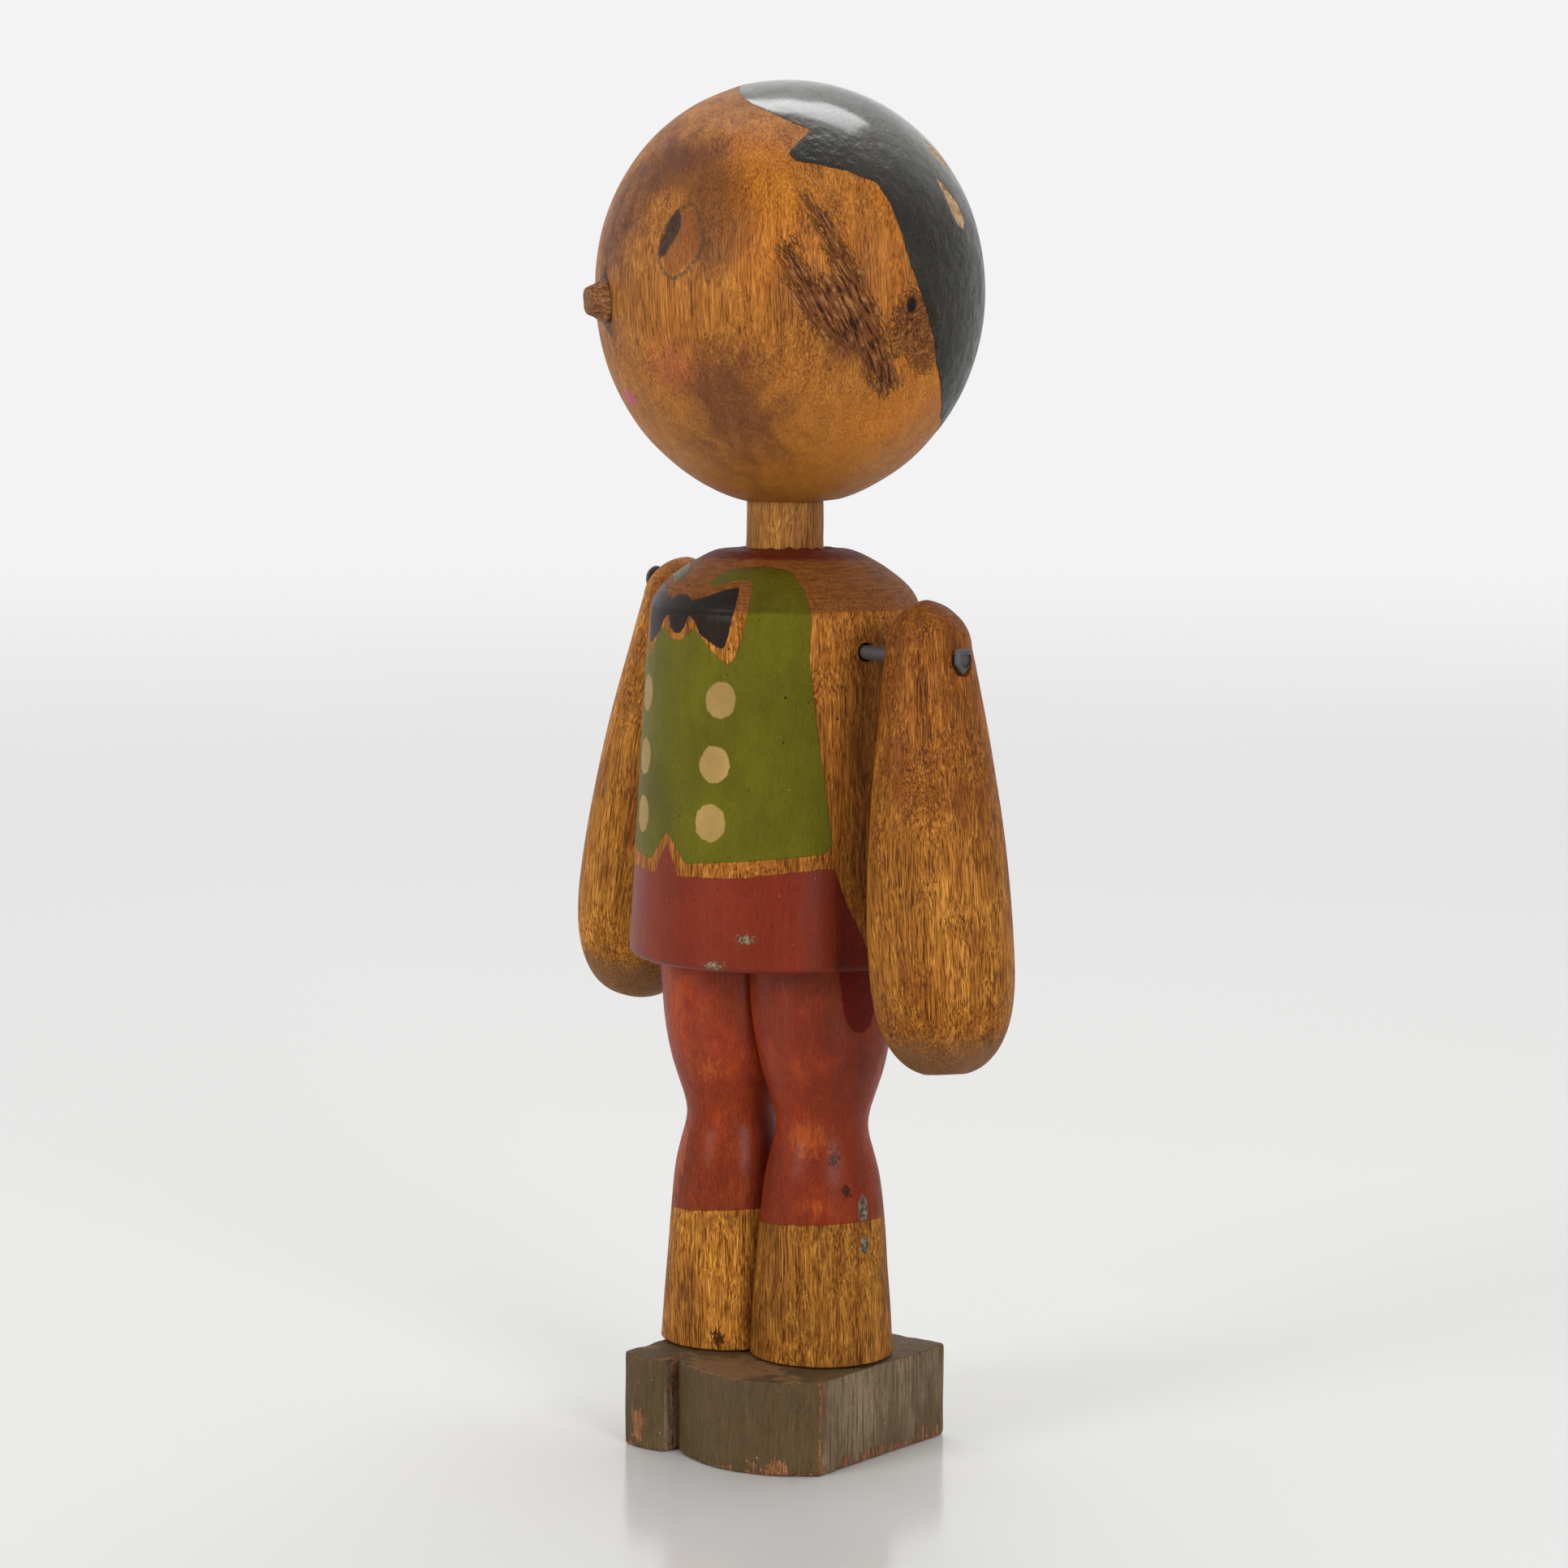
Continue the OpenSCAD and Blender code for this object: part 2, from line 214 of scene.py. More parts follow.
def spun(outline, steps):
    """A bmesh spun about the upright axis from (radius, height) points; ends on the axis close it."""
    bm = bmesh.new()
    line = [bm.verts.new((r, 0, z)) for r, z in outline]
    edges = [bm.edges.new(pair) for pair in zip(line, line[1:])]
    bmesh.ops.spin(bm, geom=line + edges, cent=(0, 0, 0), axis=(0, 0, 1),
                   angle=2 * math.pi, steps=steps, use_merge=True)
    bmesh.ops.remove_doubles(bm, verts=bm.verts, dist=1e-4)
    bmesh.ops.recalc_face_normals(bm, faces=bm.faces)
    return bm


def ripple(point, reach, seed):
    """Smooth noise from about -1 to 1 that changes over "reach" millimetres."""
    return noise.noise(point / reach + Vector((seed, 2 * seed, 3 * seed)))


def wobble(bm, amount, reach, seed, stretch=1.0):
    """Moves each vertex along its normal by smooth noise, drawn out along the grain."""
    bm.normal_update()
    for vert in bm.verts:
        at = Vector((vert.co.x, vert.co.y, vert.co.z / stretch))
        vert.co += vert.normal * amount * ripple(at, reach, seed)


def tool(name, bm, matrix):
    """A cutting shape as an object of its own."""
    bm.transform(Matrix.Scale(MM, 4) @ matrix)
    bmesh.ops.recalc_face_normals(bm, faces=bm.faces)
    mesh = bpy.data.meshes.new(name)
    bm.to_mesh(mesh)
    bm.free()
    made = bpy.data.objects.new(name, mesh)
    bpy.context.scene.collection.objects.link(made)
    return made


def round_tool(name, radius, depth, matrix, taper=1.0):
    """A round cutter that runs along the matrix's +Z from its origin, wider at the mouth by taper."""
    bm = bmesh.new()
    bmesh.ops.create_cone(bm, cap_ends=True, segments=40, radius1=radius,
                          radius2=radius * taper, depth=depth)
    bmesh.ops.translate(bm, verts=bm.verts, vec=(0, 0, depth / 2))
    return tool(name, bm, matrix)


def cut(piece, cutters):
    """Takes the cutters out of the piece and drops them."""
    for cutter in cutters:
        step = piece.modifiers.new("cut", "BOOLEAN")
        step.object = cutter
        step.operation = "DIFFERENCE"
        step.solver = "EXACT"
    made = bpy.data.meshes.new_from_object(
        piece.evaluated_get(bpy.context.evaluated_depsgraph_get()))
    piece.modifiers.clear()
    old, piece.data = piece.data, made
    bpy.data.meshes.remove(old)
    for cutter in cutters:
        bpy.data.meshes.remove(cutter.data)


def write_field(mesh, name, values):
    """Stores one number, or one place, for each vertex."""
    kind = "FLOAT_VECTOR" if values.ndim == 2 else "FLOAT"
    field = mesh.attributes.new(name, kind, "POINT")
    field.data.foreach_set("vector" if values.ndim == 2 else "value",
                           np.ascontiguousarray(values, dtype=np.float32).ravel())


def made_piece(name, bm, matrix, node, body, material, fields=None, cutters=()):
    """Puts a bmesh drawn in millimetres in its place and registers it with the frame."""
    place = Matrix.Scale(MM, 4) @ matrix
    bm.transform(place)
    mesh = bpy.data.meshes.new(name)
    bm.to_mesh(mesh)
    bm.free()
    piece = bpy.data.objects.new(name, mesh)
    bpy.context.scene.collection.objects.link(piece)
    if cutters:
        cut(piece, cutters)
    mesh = piece.data
    if len(mesh.polygons) < 20:
        raise RuntimeError(name + " came out empty")
    bm = bmesh.new()
    bm.from_mesh(mesh)
    bmesh.ops.remove_doubles(bm, verts=bm.verts, dist=1e-7)
    for edge in bm.edges:
        edge.smooth = edge.calc_face_angle(0) < math.radians(38)
    for face in bm.faces:
        face.smooth = True
    bm.to_mesh(mesh)
    bm.free()
    points = np.empty(len(mesh.vertices) * 3)
    mesh.vertices.foreach_get("co", points)
    points = np.c_[points.reshape(-1, 3), np.ones(len(mesh.vertices))]
    local = (points @ np.array(place.inverted()).T)[:, :3]
    write_field(mesh, "place", local)
    for field, values in (fields(local) if fields else {}).items():
        write_field(mesh, field, values)
    mesh.materials.clear()
    mesh.materials.append(material)
    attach(piece, body)
    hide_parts(node)
    return piece


# ---- Shader building ----

class Sheet:
    """Short names for the nodes of one shader tree."""

    def __init__(self, tree):
        self.tree = tree

    def put(self, socket, value):
        """Links a socket to the input, or sets a number, a place or a colour on it."""
        if isinstance(value, bpy.types.NodeSocket):
            self.tree.links.new(value, socket)
        elif isinstance(value, (tuple, list)) and len(value) == 3 and socket.type == "RGBA":
            socket.default_value = (*value, 1)
        else:
            socket.default_value = value

    def node(self, kind, **settings):
        """A new node with its settings."""
        made = self.tree.nodes.new(kind)
        for key, value in settings.items():
            setattr(made, key, value)
        return made

    def sum(self, kind, a, b=0.0, clamp=False):
        """One step of arithmetic, named as the Math node names it."""
        made = self.node("ShaderNodeMath", operation=kind, use_clamp=clamp)
        for socket, value in zip(made.inputs, (a, b)):
            self.put(socket, value)
        return made.outputs[0]

    def times(self, a, b):
        return self.sum("MULTIPLY", a, b)

    def plus(self, a, b):
        return self.sum("ADD", a, b)

    def about_nought(self, value, reach=1.0):
        """Noise less its middle value, times reach."""
        centred = self.sum("SUBTRACT", value, 0.5)
        return self.times(centred, reach) if reach != 1.0 else centred

    def up(self):
        """Height in the piece's own place, in millimetres."""
        split = self.node("ShaderNodeSeparateXYZ")
        self.put(split.inputs[0], self.field("place"))
        return split.outputs[2]

    def step(self, value, low, high, start=0.0, end=1.0):
        """A smooth step from start to end as the value goes from low to high."""
        made = self.node("ShaderNodeMapRange", interpolation_type="SMOOTHSTEP")
        for socket, number in zip(made.inputs, (value, low, high, start, end)):
            self.put(socket, number)
        return made.outputs[0]

    def mix(self, share, a, b):
        """Colour a where the share is 0, colour b where it is 1."""
        made = self.node("ShaderNodeMix", data_type="RGBA")
        self.put(made.inputs[0], share)
        self.put(made.inputs[6], a)
        self.put(made.inputs[7], b)
        return made.outputs[2]

    def stretch(self, place, x, y, z):
        made = self.node("ShaderNodeVectorMath", operation="MULTIPLY")
        self.put(made.inputs[0], place)
        self.put(made.inputs[1], (x, y, z))
        return made.outputs[0]

    def shift(self, place, by):
        made = self.node("ShaderNodeVectorMath", operation="ADD")
        self.put(made.inputs[0], place)
        self.put(made.inputs[1], by)
        return made.outputs[0]

    def noise(self, place, scale=1.0, detail=3.0, rough=0.5, bend=0.0):
        made = self.node("ShaderNodeTexNoise")
        for name, value in (("Vector", place), ("Scale", scale), ("Detail", detail),
                            ("Roughness", rough), ("Distortion", bend)):
            self.put(made.inputs[name], value)
        return made.outputs[0]

    def field(self, name):
        """A field stored on the mesh: a place or run as a vector, all others as a number."""
        made = self.node("ShaderNodeAttribute", attribute_name=name)
        return made.outputs["Vector" if name in {"place", "fibre_run"} else "Fac"]

    def use(self, group, **values):
        """Places a node group; underscores in the names stand for spaces."""
        made = self.node("ShaderNodeGroup")
        made.node_tree = group
        for name, value in values.items():
            self.put(made.inputs[name.replace("_", " ")], value)
        return made.outputs

    def bump(self, height, depth):
        """A normal from a height field that is worth "depth" millimetres."""
        made = self.node("ShaderNodeBump")
        self.put(made.inputs["Strength"], 1.0)
        self.put(made.inputs["Distance"], depth * MM)
        self.put(made.inputs["Height"], height)
        return made.outputs[0]


SOCKETS = {"c": "NodeSocketColor", "f": "NodeSocketFloat", "v": "NodeSocketVector"}


def new_group(name, inputs, outputs):
    """An empty node group; inputs and outputs are names with a letter for their kind."""
    tree = bpy.data.node_groups.new(name, "ShaderNodeTree")
    for names, way in ((inputs, "INPUT"), (outputs, "OUTPUT")):
        for text in names:
            label, kind = text.rsplit(":", 1)
            tree.interface.new_socket(name=label, in_out=way, socket_type=SOCKETS[kind])
    sheet = Sheet(tree)
    return tree, sheet, sheet.node("NodeGroupInput").outputs, sheet.node("NodeGroupOutput").inputs


def grain_group():
    """Turned wood with the grain upright: streaks, broad bands, pores and soft blotches."""
    tree, s, given, out = new_group(
        "wood_grain",
        ["Place:v", "Light:c", "Middle:c", "Dark:c", "Blotch:f", "Pores:f"],
        ["Colour:c", "Height:f", "Pore:f", "Blotch:f"])
    place = given["Place"]
    bend = s.noise(s.stretch(place, 0.06, 0.06, 0.03), 1.0, 2.0)
    swayed = s.node("ShaderNodeVectorMath", operation="ADD")
    s.put(swayed.inputs[0], place)
    spread = s.node("ShaderNodeCombineXYZ")
    s.put(spread.inputs[0], s.times(bend, 9.0))
    s.put(spread.inputs[1], s.times(bend, -7.0))
    s.put(swayed.inputs[1], spread.outputs[0])
    place = swayed.outputs[0]
    streak = s.noise(s.stretch(place, 2.7, 2.7, 0.06), 1.0, 5.0, 0.64)
    thread = s.noise(s.stretch(place, 6.4, 6.4, 0.26), 1.0, 3.0, 0.6)
    band = s.noise(s.stretch(place, 0.42, 0.42, 0.014), 1.0, 3.0)
    blotch = s.noise(s.stretch(place, 0.12, 0.12, 0.06), 1.0, 6.0, 0.64)
    pore = s.step(s.noise(s.stretch(place, 5.2, 5.2, 0.22), 1.0, 3.0, 0.6), 0.55, 0.60)
    value = s.plus(s.times(streak, 0.40), s.plus(s.times(thread, 0.40), s.times(band, 0.20)))
    tone = s.mix(s.step(value, 0.40, 0.5), given["Dark"], given["Middle"])
    tone = s.mix(s.step(value, 0.50, 0.60), tone, given["Light"])
    stained = s.times(s.step(blotch, 0.44, 0.72), given["Blotch"])
    tone = s.mix(stained, tone, s.mix(0.55, tone, given["Dark"]))
    tone = s.mix(s.times(pore, given["Pores"]), tone, given["Dark"])
    s.put(out["Colour"], tone)
    ridges = s.plus(s.times(streak, 0.5), s.times(pore, -0.5))
    s.put(out["Height"], s.plus(s.times(thread, 0.5), ridges))
    s.put(out["Pore"], pore)
    s.put(out["Blotch"], stained)
    return tree


def paint_group():
    """A worn film of paint over wood, inside a stored outline."""
    tree, s, given, out = new_group(
        "paint_film",
        ["Place:v", "Under:c", "Under Height:f", "Paint:c", "Shade:c", "Inside:f", "Ragged:f",
         "Wear:f", "Show Grain:f"],
        ["Colour:c", "Mask:f", "Height:f"])
    place = given["Place"]
    rag = s.about_nought(s.noise(place, 0.75, 4.0, 0.6))
    edge = s.plus(given["Inside"], s.times(rag, given["Ragged"]))
    film = s.step(edge, -0.1, 0.12)
    fibre = s.noise(s.stretch(place, 1.4, 1.4, 0.22), 1.0, 6.0, 0.68)
    lost = s.step(fibre, s.sum("SUBTRACT", 0.86, given["Wear"]),
                  s.sum("SUBTRACT", 0.93, given["Wear"]))
    film = s.times(film, s.sum("SUBTRACT", 1.0, lost))
    drift = s.noise(s.stretch(place, 0.09, 0.09, 0.06), 1.0, 4.0, 0.6)
    mottle = s.noise(place, 1.9, 4.0, 0.7)
    tone = s.mix(s.step(drift, 0.35, 0.68), given["Shade"], given["Paint"])
    tone = s.mix(s.times(s.step(mottle, 0.42, 0.72), 0.35), tone, given["Shade"])
    tone = s.mix(given["Show Grain"], tone, given["Under"])
    s.put(out["Colour"], s.mix(film, given["Under"], tone))
    s.put(out["Mask"], film)
    shows_through = s.times(given["Under Height"], s.step(film, 0.0, 1.0, 1.0, 0.45))
    raised = s.plus(shows_through, s.times(film, 0.55))
    s.put(out["Height"], s.plus(raised, s.times(mottle, s.times(film, 0.12))))
    return tree


def speck_group():
    """Small round specks of mixed sizes, scattered one to a cell."""
    tree, s, given, out = new_group("specks", ["Place:v", "Spacing:f", "Share:f", "Radius:f"],
                                    ["Mask:f"])
    made = s.node("ShaderNodeTexVoronoi", feature="F1")
    s.put(made.inputs["Vector"], given["Place"])
    s.put(made.inputs["Scale"], s.sum("DIVIDE", 1.0, given["Spacing"]))
    chosen = s.node("ShaderNodeSeparateColor")
    s.put(chosen.inputs[0], made.outputs["Color"])
    kept = s.sum("LESS_THAN", chosen.outputs[0], given["Share"])
    size_of = s.times(given["Radius"], s.plus(chosen.outputs[1], 0.4))
    near = s.sum("DIVIDE", made.outputs["Distance"], s.sum("DIVIDE", size_of, given["Spacing"]))
    s.put(out["Mask"], s.times(kept, s.step(near, 0.7, 1.1, 1.0, 0.0)))
    return tree


def groups():
    """The shared node groups, built once."""
    makers = {"wood_grain": grain_group, "paint_film": paint_group, "specks": speck_group}
    for name, maker in makers.items():
        if name not in bpy.data.node_groups:
            maker()
    return [bpy.data.node_groups[name] for name in makers]


def new_material(name, coat_rough=0.2, specular=0.22):
    """A material with a Principled shader; the rest of its tree is the caller's."""
    material = bpy.data.materials.new(name)
    material.use_nodes = True
    sheet = Sheet(material.node_tree)
    shader = material.node_tree.nodes["Principled BSDF"]
    shader.inputs["Coat Roughness"].default_value = coat_rough
    shader.inputs["Specular IOR Level"].default_value = specular
    return material, sheet, shader


def seeded(sheet, seed):
    """The stored place, moved so that no two pieces share a pattern."""
    return sheet.shift(sheet.field("place"), (37.0 * seed, 23.0 * seed, 61.0 * seed))


def varnished(sheet, seed, blotch=0.5, pores=0.5, light=None, middle=None, dark=None):
    """The grain group with the doll's own wood colours."""
    grain, _, _ = groups()
    tones = colours()
    return sheet.use(grain, Place=seeded(sheet, seed), Light=light or tuple(tones.wood_light),
                     Middle=middle or tuple(tones.wood_middle), Dark=dark or tuple(tones.wood_dark),
                     Blotch=blotch, Pores=pores)


def painted(sheet, seed, under, height, paint, shade, inside_by, ragged=0.4, wear=0.15, grain=0.0):
    """One film of paint over what is under it."""
    _, film, _ = groups()
    return sheet.use(film, Place=seeded(sheet, seed), Under=under, Under_Height=height, Paint=paint,
                     Shade=shade, Inside=inside_by, Ragged=ragged, Wear=wear, Show_Grain=grain)


def specks(sheet, seed, spacing, share, radius):
    """Scattered specks as a mask; spacing and radius are in millimetres."""
    _, _, dots = groups()
    return sheet.use(dots, Place=seeded(sheet, seed), Spacing=spacing, Share=share, Radius=radius)[0]


def darker(tone, by):
    """A linear colour scaled by a factor."""
    return tuple(c * by for c in tone)


# ---- Head ----

HEAD_R = (HEAD_HIGH.x - HEAD_LOW.x) / 2
# Paint on the head is laid out in (degrees from the face, height above the head's bottom),
# and one degree is taken as this many millimetres.
HEAD_DEGREE = HEAD_R * math.radians(1)
# The head's flat underside lies this far below the frame's own.
HEAD_SINK = 0.7
HAIR = [
    (0, 71.6), (33, 69.4), (59, 66.2), (81, 62.3), (75, 60.4), (71, 58.4), (73, 57.0), (82, 56.2),
    (91, 55.0), (100, 53.1), (103, 49.5), (105, 44.3), (107, 39.0), (111, 33.6), (116, 27.9),
    (120, 23.4), (128, 18.6), (138, 14.5), (154, 11.9), (184, 11.0), (184, 90), (0, 90),
]
HAIR_CHIPS = [
    [(143, 60.3), (148, 58.8), (150, 57.0), (147, 55.1), (144, 56.0), (140, 58.6)],
    [(129, 53.8), (133, 51.6), (137, 48.4), (136, 45.4), (132, 45.8), (130, 48.2)],
]
EYE = [
    (39, 50.1), (43, 47.0), (43.5, 43.0), (39, 39.6), (35, 38.6), (31, 40.2), (30, 43.0), (32, 47.6),
]
PUPIL = [(34.5, 49.8), (36.6, 47.1), (34.4, 44.2), (30.5, 41.5), (29.3, 43.4), (31, 46.9)]
BROW_STAIN = [(30, 59.0), (44, 58.5), (53, 53), (55, 46), (50, 41), (45, 42), (38, 52), (22, 57)]
# Soft zones of golden (above 0) and smoky (below 0) wood: angle, height, half-widths, strength. The golden
# zones low on the right (118, 22) and along the bottom (100, 14) are painted light: they brighten the wood
# where the head's lower right and underside get too little light.
HEAD_ZONES = [
    (60, 55, 12, 9, 1.1), (66, 43, 12, 9, 1.0), (103, 45, 8, 12, 0.9), (88, 46, 5, 7, 0.6),
    (28, 34, 12, 6, 0.2), (118, 22, 14, 10, 0.9), (100, 14, 16, 6, 0.8), (56, 33, 9, 6, 0.1),
    (8, 50, 16, 16, -0.7), (46, 21, 17, 8, -0.85), (28, 58, 14, 5, -0.6), (72, 66, 12, 4, -0.3),
    (85, 28, 7, 4, -0.7), (93, 23, 5, 4, -0.6), (50, 10, 26, 7, -0.5), (118, 35, 5, 5, -0.7),
    (-60, 40, 20, 18, 0.5), (-95, 30, 15, 12, -0.6), (-45, 20, 20, 7, -0.6),
]
ROUGH_GRAIN = [
    (75, 51.5), (82, 47.4), (88, 40), (95, 32.5), (98, 27.5), (106, 21), (101, 18), (94, 22),
    (89, 26.5), (83, 27.3), (77, 29.5), (72, 33), (69, 38), (67, 43), (71, 44), (74, 40),
    (78, 37.5), (83, 38), (80, 44), (77, 47),
]
CURLED_GRAIN = [(101, 31), (108, 35.5), (116, 32.0), (119, 25), (115, 22), (107, 24.5), (102, 27)]
# The nose sits this far above the head's bottom.
NOSE_UP = 35.0
MOUTH = (0.0, 19.0)
CHEEK = (31.0, 24.5)
KNOT = (107.0, 32.8)
# The torn fibres of the rough patch run down and round to the back.
FIBRE_SLOPE = math.radians(28)
# Sets the offsets of the vector noise that bends the curled fibres; it must not be 0.
CURL_SEED = 3


def head_matrix():
    """The head's own place: upright on its turned axis, its face towards -Y."""
    low = HEAD_LOW.z
    back = ((HEAD_LOW + HEAD_HIGH) / 2).to_2d().length
    lean = shape().head_lean
    # the lean carries the widest line forwards, so the foot of the head sits a little further back
    foot_back = back + math.sin(lean) * long("head_low")
    return (Matrix.Rotation(-HEAD_TURN, 4, "Z") @ Matrix.Translation((0, foot_back, low))
            @ Matrix.Rotation(lean, 4, "X"))


def nose_matrix(depth):
    """The nose's own place: +Z runs out of the face, from this far along the head's Y."""
    return head_matrix() @ Matrix.Translation((0, depth, NOSE_UP)) @ Matrix.Rotation(math.pi / 2, 4, "X")


def in_degrees(outline, degree):
    """An outline in (degrees, height), with its degrees turned into millimetres round."""
    return [(angle * degree, height) for angle, height in outline]


def soft_zones(zones, angle, height):
    """Sum of soft spots, each an (angle, height, half-widths, strength)."""
    total = np.zeros(angle.shape)
    for at, up, wide, tall, strength in zones:
        total += strength * np.exp(-((angle - at) / wide) ** 2 - ((height - up) / tall) ** 2)
    return total


def head_fields(local):
    """Distances inside each painted or stained area of the head."""
    angle = round_from_front(local)
    u, v, widest = angle * HEAD_DEGREE, local[:, 2], long("head_low")
    v = np.where(v < widest, widest - (widest - v) * 0.957, v)
    both = np.abs(u)
    laid = lambda outline: in_degrees(outline, HEAD_DEGREE)
    chips = np.max([inside(rounded(laid(chip)), u, v) for chip in HAIR_CHIPS], axis=0)
    at = lambda place: (place[0] * HEAD_DEGREE, place[1])
    along = -u * math.sin(FIBRE_SLOPE) + v * math.cos(FIBRE_SLOPE)
    across = u * math.cos(FIBRE_SLOPE) + v * math.sin(FIBRE_SLOPE)
    return {
        "hair": inside(laid(HAIR), both, v),
        "hair_chip": chips,
        "eye": inside(rounded(laid(EYE)), both, v),
        "pupil": inside(rounded(laid(PUPIL)), both, v),
        "brow": inside(rounded(laid(BROW_STAIN)), both, v),
        "rough_grain": inside(laid(ROUGH_GRAIN), u, v),
        "curled_grain": inside(rounded(laid(CURLED_GRAIN)), u, v),
        "fibre_run": np.c_[along, across, np.zeros(len(u))],
        "zone": soft_zones(HEAD_ZONES, angle, v),
        "mouth": spot(both, v, at(MOUTH), 3.6, 1.5),
        "cheek": spot(both, v, at(CHEEK), 5.0, 4.0),
        "knot": spot(u, v, at(KNOT), 1.1, 1.4),
        # the nose's hole round the peg, dark with torn wood and with painted shade in the recess, its splits
        # above and below, and the crack under it
        "nose_rim": np.max([spot(u, v, (0, NOSE_UP), 4.0, 4.6), spot(u, v, (0.6, NOSE_UP), 2.0, 6.2),
                            spot(u, v, (1.4, NOSE_UP - 9.5), 0.35, 6.0)], axis=0),
    }


def head_material():
    """Varnished wood with a worn face, a torn patch and glossy hair paint."""
    material, s, shader = new_material("head_wood_and_hair", coat_rough=0.14)
    tones = colours()
    place = seeded(s, 1)
    # the zones give golden and smoky wood, and also painted light low on the right and along the bottom of
    # the head
    zone = s.plus(s.field("zone"), s.about_nought(s.noise(place, 0.16, 4.0, 0.6, 0.8), 1.4))
    golden, smoky = s.step(zone, 0.05, 0.85), s.step(zone, -0.05, -0.85)
    tuned = []
    for own, gold, smoke in ((tones.wood_light, "CE862C", "8A5628"),
                             (tones.wood_middle, "AE6513", "6E3C16"),
                             (tones.wood_dark, "763A05", "4E2509")):
        tuned.append(s.mix(smoky, s.mix(golden, tuple(own), colour(gold)), colour(smoke)))
    up = s.up()
    wood = varnished(s, 1, 0.22, s.step(up, 8.0, 34.0, 0.06, 0.24), *tuned)
    calm = s.mix(0.3, tuned[1], tuned[0])
    tone = s.mix(s.step(up, 6.0, 32.0, 0.62, 0.0), wood["Colour"], calm)
    height = wood["Height"]
    brow = s.plus(s.field("brow"), s.times(s.noise(place, 0.22, 5.0, 0.65), 6.0))
    brow = s.step(brow, -1.5, 4.5, 0.0, 0.95)
    tone = s.mix(brow, tone, s.mix(0.68, tone, colour("582A0A")))
    # raised, torn grain with a ragged edge
    run = s.field("fibre_run")
    hairs = s.noise(s.stretch(run, 0.3, 1.5, 1.0), 1.0, 6.0, 0.66, 0.5)
    curls = s.noise(s.stretch(place, 0.5, 0.5, 0.5), 1.0, 5.0, 0.62, 3.2)
    ragged = s.plus(s.field("rough_grain"), s.about_nought(hairs, 10.0))
    rough = s.step(ragged, -0.3, 0.4)
    curled = s.step(s.plus(s.field("curled_grain"), s.about_nought(curls, 14.0)), -0.4, 0.6)
    fuzz = s.sum("MAXIMUM", rough, s.times(curled, 0.85))
    strands = s.mix(curled, hairs, curls)
    fuzz_tone = s.mix(s.step(strands, 0.42, 0.5), colour("2A1002"), colour("7A4620"))
    fuzz_tone = s.mix(s.step(strands, 0.54, 0.64), fuzz_tone, colour("B07844"))
    tone = s.mix(s.times(fuzz, 0.96), tone, fuzz_tone)
    # worn face paint
    edge = s.plus(s.field("eye"), s.times(s.noise(place, 0.5, 3.0), 0.5))
    ring = s.step(s.sum("ABSOLUTE", edge), 0.15, 0.6, 1.0, 0.0)
    worn = s.step(s.noise(place, 1.3, 4.0, 0.7), 0.38, 0.52)
    tone = s.mix(s.times(ring, s.times(worn, 0.72)), tone, colour("4A3420"))
    tone = s.mix(s.step(s.field("eye"), 0.0, 1.0, 0.0, 0.62), tone, colour("824412"))
    fine = s.noise(s.stretch(place, 2.0, 2.0, 0.5), 1.0, 4.0, 0.65)
    pupil = s.step(s.plus(s.field("pupil"), s.about_nought(fine, 1.6)), -0.3, 0.3, 0.0, 0.95)
    tone = s.mix(pupil, tone, s.mix(s.step(fine, 0.4, 0.6), colour("24160C"), colour("452A16")))
    cheek = s.step(s.plus(s.field("cheek"), s.about_nought(fine, 9.0)), -2.5, 3.5, 0.0, 0.48)
    tone = s.mix(s.times(cheek, s.step(fine, 0.34, 0.6)), tone, colour("C4603E"))
    mouth = s.step(s.plus(s.field("mouth"), s.about_nought(fine, 1.4)), -0.1, 0.5, 0.0, 0.8)
    tone = s.mix(mouth, tone, colour("B8546A"))
    tone = s.mix(s.step(s.field("knot"), -0.3, 0.35, 0.0, 0.95), tone, colour("14100C"))
    # painted shade in the hole round the nose peg, together with the dark of its torn rim, splits and crack
    rim = s.step(s.plus(s.field("nose_rim"), s.about_nought(fine, 1.8)), 0.0, 0.35, 0.0, 0.85)
    tone = s.mix(rim, tone, colour("2C1708"))
    # hair
    gap = s.sum("SUBTRACT", 0.0, s.field("hair_chip"))
    hair = painted(s, 2, tone, height, tuple(tones.hair), darker(tones.hair, 0.55),
                   s.sum("MINIMUM", s.field("hair"), gap), ragged=0.5, wear=0.10)
    chips = s.times(s.step(s.field("hair_chip"), -0.2, 0.1), s.step(s.field("hair"), 0.0, 1.0))
    bared = s.mix(s.step(fine, 0.4, 0.6), colour("886030"), colour("CCA87A"))
    tone = s.mix(chips, hair["Colour"], bared)
    pale = specks(s, 3, 2.2, 0.2, 0.12)
    tone = s.mix(s.times(pale, s.times(hair["Mask"], 0.6)), tone, colour("C0A880"))
    s.put(shader.inputs["Base Color"], tone)
    wood_rough = s.step(s.noise(place, 0.5, 4.0), 0.3, 0.7, 0.40, 0.54)
    wood_rough = s.mix(fuzz, wood_rough, (0.75, 0.75, 0.75))
    hair_rough = s.step(s.noise(place, 0.35, 4.0), 0.3, 0.75, 0.26, 0.42)
    s.put(shader.inputs["Roughness"], s.mix(hair["Mask"], wood_rough, hair_rough))
    shine = s.step(up, 44.0, 62.0, 0.08, 0.8)
    s.put(shader.inputs["Coat Weight"], s.times(hair["Mask"], shine))
    pits = specks(s, 5, 1.1, 0.5, 0.22)
    brushed = s.noise(s.stretch(place, 1.5, 1.5, 0.16), 1.0, 4.0, 0.6)
    uneven = s.times(s.noise(place, 0.42, 3.0, 0.5), 5.0)
